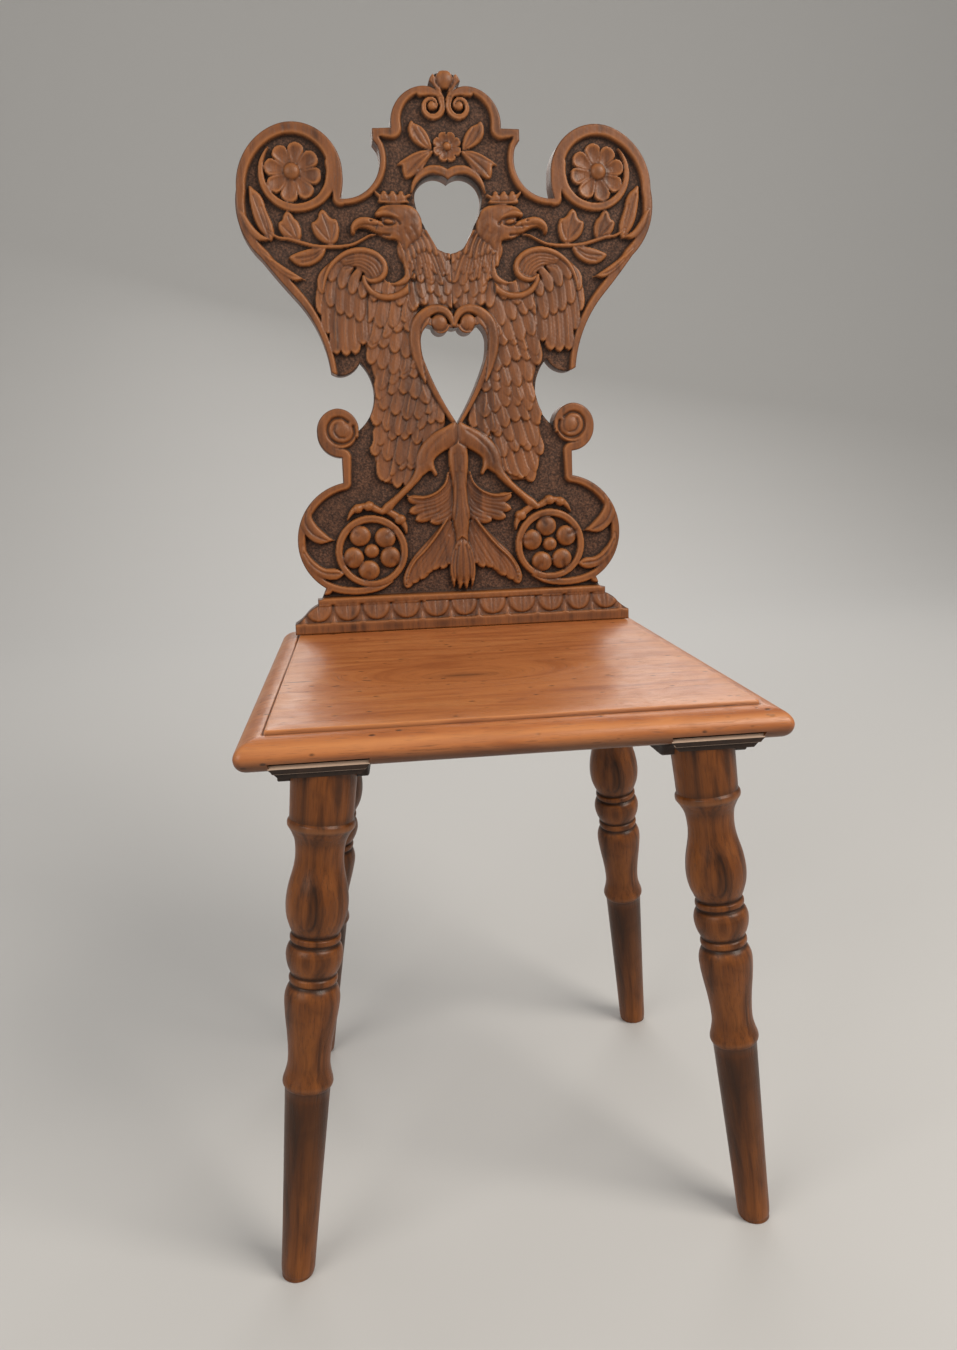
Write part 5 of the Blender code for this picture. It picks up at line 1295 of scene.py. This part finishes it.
def build_leg(side, row, word):
    """A turned leg, its hollowed shoulder fitted under the batten, cut flat on the floor."""
    across, along, away = {
        "front": (FRONT_LEG_ACROSS, FRONT_LEG_ALONG, -LEG_SPLAY_AWAY),
        "rear": (REAR_LEG_ACROSS, REAR_LEG_ALONG, LEG_SPLAY_AWAY),
    }[row]
    top = Vector((side * across, CHAIR_SHIFT + along, UNDER_BATTEN))
    foot = top + Vector((side * LEG_SPLAY_SIDE, away, -UNDER_BATTEN))
    up = (top - foot).normalized()
    sideways = (Vector((1, 0, 0)) - up * up.x).normalized()
    turned = Matrix((sideways, up.cross(sideways), up)).transposed().to_4x4()
    frame_of_leg = Matrix.Translation(foot) @ turned
    length = (top - foot).length
    shoulder = UNDER_BATTEN - GAP * MM
    # The front tenons are pared so that they stay behind the batten's nose
    pared = -1
    if row == "front":
        pared = BATTEN_FRONT_SETBACK + BATTEN_NOSE - SEAT_DEPTH / 2 - FRONT_LEG_ALONG
    curve_rows = [curve_row for curve in LEG_CURVES for curve_row in smooth_line(curve, 6)]
    stages = [
        (0, LEG_TENON_SHARE, TENON_TOP),
        (0, LEG_TENON_SHARE, shoulder),
        (0, LEG_SHOULDER_SHARE, shoulder),
        (0, LEG_CURVES[0][0][1], None),
        *[(*curve_row, None) for curve_row in curve_rows],
        (1, LEG_FOOT_SHARE, 0),
    ]
    rings = []
    for down_share, width_share, level in stages:
        ring = []
        for k in range(LEG_STEPS):
            turn = 2 * math.pi * k / LEG_STEPS
            radius = width_share * LEG_DIAMETER / 2
            place = Vector((radius * math.cos(turn), radius * math.sin(turn), length * (1 - down_share)))
            if width_share == LEG_TENON_SHARE:
                place.y = max(place.y, pared)
            world = frame_of_leg @ place
            cope = leg_cope(world.y - CHAIR_SHIFT)
            wanted = level
            if level is None:
                wanted = cope if down_share == 0 else min(max(world.z, 0), cope)
            place.z += (wanted - world.z) / up.z
            ring.append(place)
        rings.append(ring)
    leg = add_piece(f"turned_leg_{row}_{word}", *joined_rings(rings), crease=38)
    downs = np.array([stage[0] for stage in stages])
    widths = np.array([stage[1] for stage in stages])
    # Each ring against the mean width beside it: beads get wear and a painted highlight,
    # coves and the shoulder get painted shade
    beside = np.linspace(-LEG_MARK_REACH, LEG_MARK_REACH, 9)
    around = np.array([np.interp(down + beside, downs[3:], widths[3:]).mean() for down in downs])
    worn = np.clip((widths - around - LEG_WEAR_AND_HIGHLIGHT_FROM) / LEG_MARK_SPAN, 0, 1)
    painted_shade = np.clip((around - widths - LEG_PAINTED_SHADE_FROM) / LEG_MARK_SPAN, 0, 1)
    painted_shade[:3] = 1
    store(leg.data, "crest", np.repeat(worn, LEG_STEPS))
    store(leg.data, "hollow", np.repeat(painted_shade, LEG_STEPS))
    leg.matrix_world = frame_of_leg
    show(leg, leg_wood, f"leg_{row}_{word}")


def batten_middle(along):
    """How far a batten's middle line lies from the chair's, at a place from front to back."""
    share = (along - FRONT_LEG_ALONG) / (REAR_LEG_ALONG - FRONT_LEG_ALONG)
    return FRONT_LEG_ACROSS + (REAR_LEG_ACROSS - FRONT_LEG_ACROSS) * share


def build_batten(side, word):
    """A batten with a dovetailed top; a thin lip and an ogee shape its front end."""
    front = -SEAT_DEPTH / 2 + BATTEN_FRONT_SETBACK - BATTEN_LIP_FORWARD
    rear = SEAT_DEPTH / 2 - BATTEN_REAR_SETBACK
    shoulder = SEAT_TOP - SEAT_THICKNESS
    top = shoulder + BATTEN_LET_IN
    lip = top - BATTEN_LIP
    ease = BATTEN_EASE
    half = BATTEN_WIDTH / 2
    stations = [
        (front + behind * MM, lip - under * MM, top - down * MM, half, pale_wear_and_highlight)
        for behind, under, down, pale_wear_and_highlight in BATTEN_LIP_MM
    ]
    behind, down = BATTEN_LIP_END_MM
    stations.append((front + behind * MM, LEG_COPE_TOP, top - down * MM, half - BATTEN_NOSE_INSET, 0))
    for along, profile in nose_stations():
        under = min(profile, LEG_COPE_TOP)
        set_in = BATTEN_NOSE_INSET * (under - UNDER_BATTEN) / (LEG_COPE_TOP - UNDER_BATTEN)
        stations.append((along, under, top, half - set_in, 0))
    stations.append((rear, UNDER_BATTEN, top, half, 0))
    rings = []
    for along, under, high, low, _ in stations:
        cross_section = (
            (ease - low, under), (low - ease, under), (low, under + ease), (low, shoulder),
            (half + BATTEN_FLARE, high), (-half - BATTEN_FLARE, high), (-low, shoulder),
            (-low, under + ease),
        )
        middle = side * batten_middle(along)
        rings.append([(middle + a, along + CHAIR_SHIFT, b) for a, b in cross_section])
    batten = add_piece(f"dovetailed_batten_{word}", *joined_rings(rings))
    # Where the lip is 1 it is painted pale, as bare wear and a highlight
    store(batten.data, "crest", np.repeat([station[4] for station in stations], len(rings[0])))
    show(batten, batten_wood, f"{word}_batten")


def seat_ring(inset, height):
    """The seat's outline moved in by inset, with rounded corners."""
    slant = math.hypot(1, SEAT_SLOPE)
    front = -SEAT_DEPTH / 2
    near = SEAT_FRONT_HALF - inset * slant - SEAT_SLOPE * inset
    far = SEAT_REAR_HALF - inset * slant + SEAT_SLOPE * inset
    corners = (
        (-near, front + inset), (near, front + inset), (far, -front - inset), (-far, -front - inset),
    )
    radius = max(SEAT_CORNER - inset / 2, SEAT_CORNER / 4)
    points = []
    for k, corner in enumerate(corners):
        corner = Vector(corner)
        start = corner + (Vector(corners[k - 1]) - corner).normalized() * radius
        end = corner + (Vector(corners[(k + 1) % 4]) - corner).normalized() * radius
        for part in range(CORNER_STEPS + 1):
            first = start.lerp(corner, part / CORNER_STEPS)
            last = corner.lerp(end, part / CORNER_STEPS)
            place = first.lerp(last, part / CORNER_STEPS)
            points.append((place.x, place.y + CHAIR_SHIFT, height))
    return points


def near_to(distance, span_mm):
    """1 at no distance, falling to 0 at the span."""
    return np.clip(1 - np.abs(distance) / (span_mm * MM), 0, 1)


def store_seat_wear_highlight_and_shade(mesh):
    """The nose and the field's edge are painted pale, as wear and a highlight; painted shade lies in the
    quirk and under the nose.
    """
    places = np.zeros(len(mesh.vertices) * 3)
    mesh.vertices.foreach_get("co", places)
    across, along, height = places.reshape(-1, 3).T
    along = along - CHAIR_SHIFT
    beside = SEAT_FRONT_HALF - SEAT_SLOPE * (along + SEAT_DEPTH / 2) - np.abs(across)
    inset = np.minimum(beside / math.hypot(1, SEAT_SLOPE), SEAT_DEPTH / 2 - np.abs(along))
    nose = NOSE_WEAR_AND_HIGHLIGHT * near_to(inset - 4 * MM, 5) * np.clip((height - NOSE_WEAR_AND_HIGHLIGHT_LOW) / (3 * MM), 0, 1)
    arris = near_to(inset - SEAT_EDGE - 1.8 * MM, 1.3)
    quirk = near_to(inset - SEAT_EDGE + 0.1 * MM, 1.1)
    under = UNDER_PAINTED_SHADE * np.clip((UNDER_PAINTED_SHADE_HIGH - height) / (7 * MM), 0, 1)
    store(mesh, "crest", np.maximum(nose, arris))
    store(mesh, "hollow", np.maximum(quirk, under))


def build_seat():
    """The board: rounded nose, raised field with a quirk round it, a dovetail groove for each batten."""
    bottom = SEAT_TOP - SEAT_THICKNESS
    top = SEAT_TOP - FIELD_STEP
    nose = bottom + (top - bottom) * SEAT_NOSE_SHARE
    levels = [(SEAT_UNDERCUT, bottom)]
    for degrees in range(-84, 1, 7):
        turn = math.radians(degrees)
        levels.append((SEAT_UNDERCUT * (1 - math.cos(turn)), nose + (nose - bottom) * math.sin(turn)))
    for degrees in range(6, 85, 6):
        turn = math.radians(degrees)
        levels.append((SEAT_EDGE * (1 - math.cos(turn)), nose + (top - nose) * math.sin(turn)))
    for inside_mm, under_mm in SEAT_QUIRK_MM:
        levels.append((SEAT_EDGE + inside_mm * MM, SEAT_TOP - under_mm * MM))
    seat = add_piece("seat_plank", *joined_rings([seat_ring(*level) for level in levels]))
    for side, word in ((-1, "left"), (1, "right")):
        reach = SEAT_DEPTH / 2 + GROOVE_OVERRUN
        half = BATTEN_WIDTH / 2 + GAP * MM
        high = bottom + BATTEN_LET_IN + GAP * MM
        rings = []
        for along in (-reach, reach):
            cross_section = (
                (-half, UNDER_BATTEN), (half, UNDER_BATTEN), (half, bottom), (half + BATTEN_FLARE, high),
                (-half - BATTEN_FLARE, high), (-half, bottom),
            )
            middle = side * batten_middle(along)
            rings.append([(middle + a, along + CHAIR_SHIFT, b) for a, b in cross_section])
        groove = add_piece(f"groove_{word}", *joined_rings(rings))
        modifier = seat.modifiers.new("groove", "BOOLEAN")
        modifier.operation = "DIFFERENCE"
        modifier.solver = "EXACT"
        modifier.object = groove
    bpy.context.view_layer.update()
    cut_mesh = bpy.data.meshes.new_from_object(seat.evaluated_get(bpy.context.evaluated_depsgraph_get()))
    seat.modifiers.clear()
    seat.data = cut_mesh
    for word in ("left", "right"):
        bpy.data.objects.remove(bpy.data.objects[f"groove_{word}"], do_unlink=True)
    cut_mesh.shade_smooth()
    cut_mesh.set_sharp_from_angle(angle=math.radians(32))
    store_seat_wear_highlight_and_shade(cut_mesh)
    show(seat, seat_wood, "seat_board")


def build_back_tenon(side, word):
    """A tenon of the back, seen under its batten with the key through it."""
    half = TENON_WIDTH / 2
    depth = (BACK_THICKNESS * MM - TENON_THICKNESS) / 2
    drop = (SEAT_TOP - UNDER_BATTEN + TENON_BELOW) / math.cos(BACK_LEAN)
    middle = SEAT_DEPTH / 2 - BACK_SETBACK + BACK_THICKNESS * MM / 2
    across = side * batten_middle(middle - math.tan(BACK_LEAN) * (SEAT_TOP - UNDER_BATTEN))
    rings = []
    for height in (-drop, TENON_ABOVE):
        rings.append([
            (across - half, depth, height), (across + half, depth, height),
            (across + half, depth + TENON_THICKNESS, height),
            (across - half, depth + TENON_THICKNESS, height),
        ])
    tenon = add_piece(f"back_tenon_{word}", *joined_rings(rings))
    tenon.matrix_world = plank_matrix()
    bevelled(tenon, TENON_EASE)
    show(tenon, tenon_wood)


# The chair

outline_half, _ = half_path(OUTLINE_MM, EDGE_PITCH)
outline_coarse, outline_coarse_rims = half_path(OUTLINE_MM, RIM_PITCH)
lower_heart_coarse, _ = half_path(LOWER_HEART_MM, BORDER_PITCH)
lower_heart_half, _ = half_path(LOWER_HEART_MM, EDGE_PITCH)
upper_heart_half, _ = half_path(UPPER_HEART_MM, EDGE_PITCH)
loops = [mirrored_loop(half) for half in (outline_half, lower_heart_half, upper_heart_half)]

# Walnut cut with chisels and stained: middle brown, dull and with painted shade in the hollows, with a soft
# sheen, wear and a painted highlight on what is high
back_wood = walnut("walnut_carved_and_stained", "back", 2, ("#482815", "#714324", "#84502b"), 0.44, 0.1)
# A planed walnut plank, sat smooth and waxed: the palest and glossiest wood of the chair
seat_wood = walnut("walnut_plank_worn_and_waxed", "seat", 0, ("#9a582e", "#b16c3c", "#bd7a47"), 0.36, 0.16)
# Walnut turned and polished: red brown with dark figure and a broken gleam down each leg
leg_wood = walnut("walnut_turned_and_polished", "leg", 2, ("#2e1706", "#6b3b16", "#854d1f"), 0.4, 0.15)
# Walnut sawn and left plain where it is out of sight: dull and dry
tenon_wood = walnut("walnut_sawn_tenon", "tenon", 2, ("#3b2316", "#5d3a25", "#6c4529"), 0.55)
# Walnut sawn and stained nearly black: dull, with the worn front edge painted pale as bare wood and a
# highlight
batten_wood = walnut("walnut_sawn_and_stained_dark", "batten", 1, ("#1a100a", "#2c1c12", "#35231a"), 0.55)

show(carved_back(), back_wood, "backrest")
build_seat()
for side, word in ((-1, "left"), (1, "right")):
    build_batten(side, word)
    build_back_tenon(side, word)
    for row in ("front", "rear"):
        build_leg(side, row, word)
        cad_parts[f"wedge_{row}_{word}"].data.materials[0] = batten_wood
    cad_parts[f"key_{word}"].data.materials[0] = batten_wood

# Floor, light and camera

FLOOR_LEVEL = -0.0005
FLOOR_HALF = 9
WALL_START = 2.2
WALL_BEND = 1.2
WALL_HEIGHT = 6

sweep = [(-FLOOR_HALF, FLOOR_LEVEL), (WALL_START, FLOOR_LEVEL)]
for degrees in range(10, 91, 10):
    turn = math.radians(degrees)
    sweep.append((WALL_START + WALL_BEND * math.sin(turn), FLOOR_LEVEL + WALL_BEND * (1 - math.cos(turn))))
sweep.append((WALL_START + WALL_BEND, WALL_HEIGHT))
places = [(across, along, height) for across in (-FLOOR_HALF, FLOOR_HALF) for along, height in sweep]
floor_mesh = bpy.data.meshes.new("floor")
strips = [(k, k + 1, len(sweep) + k + 1, len(sweep) + k) for k in range(len(sweep) - 1)]
floor_mesh.from_pydata(places, [], strips)
floor_mesh.shade_smooth()
floor = bpy.data.objects.new("floor", floor_mesh)
bpy.context.scene.collection.objects.link(floor)
# Matt paint, rolled on: an even pale grey without a reflection
floor_paint = bpy.data.materials.new("matt_floor_paint")
floor_paint.use_nodes = True
paint_shader = floor_paint.node_tree.nodes["Principled BSDF"]
paint_shader.inputs["Base Color"].default_value = colour("#c3c5c7")
paint_shader.inputs["Roughness"].default_value = 0.9
floor_mesh.materials.append(floor_paint)

# A large soft light from the right, one from behind for the edges, and a weak one that fills the left
for name, place, target, size, power, tint in (
    ("window_right", (1.5, -1.3, 2.2), (0, 0.1, 0.6), (1.4, 1.4), 52, "#fff4e6"),
    ("window_behind", (0.5, 2.6, 2.0), (0, 0, 0.45), (2.6, 1.8), 36, "#fff9f2"),
    ("fill_left", (-1.9, -1.6, 1.7), (0, 0, 0.5), (1.6, 1.6), 24, "#fff6ea"),
):
    light = bpy.data.lights.new(name, "AREA")
    light.shape = "RECTANGLE"
    light.size, light.size_y = size
    light.energy = power
    light.color = colour(tint)[:3]
    lamp = bpy.data.objects.new(name, light)
    lamp.location = place
    lamp.rotation_euler = (Vector(target) - Vector(place)).to_track_quat("-Z", "Y").to_euler()
    lamp.visible_camera = False
    bpy.context.scene.collection.objects.link(lamp)

world = bpy.data.worlds.new("studio")
world.use_nodes = True
background = world.node_tree.nodes["Background"]
background.inputs["Color"].default_value = colour("#e6e0d8")
background.inputs["Strength"].default_value = 0.5
bpy.context.scene.world = world
bpy.context.scene.view_settings.view_transform = "Standard"

# The camera stands where the photograph's was, as the seat's corners and the feet show
CAMERA_PLACE = (-0.1388, -0.966 + CHAIR_SHIFT, 0.706)
CAMERA_YAW = 0.1354
CAMERA_PITCH = -0.2648
CAMERA_ROLL = -0.022
CAMERA_LENS = 29.33
CAMERA_FILM = 36

camera_data = bpy.data.cameras.new("camera")
camera_data.sensor_width = CAMERA_FILM
camera_data.lens = CAMERA_LENS
camera = bpy.data.objects.new("camera", camera_data)
ahead = Vector((
    math.sin(CAMERA_YAW) * math.cos(CAMERA_PITCH), math.cos(CAMERA_YAW) * math.cos(CAMERA_PITCH),
    math.sin(CAMERA_PITCH),
))
level = Vector((math.cos(CAMERA_YAW), -math.sin(CAMERA_YAW), 0))
upright = level.cross(ahead)
rightwards = level * math.cos(CAMERA_ROLL) + upright * math.sin(CAMERA_ROLL)
above = upright * math.cos(CAMERA_ROLL) - level * math.sin(CAMERA_ROLL)
turned = Matrix((rightwards, above, -ahead)).transposed().to_4x4()
camera.matrix_world = Matrix.Translation(CAMERA_PLACE) @ turned
bpy.context.scene.collection.objects.link(camera)
bpy.context.scene.camera = camera
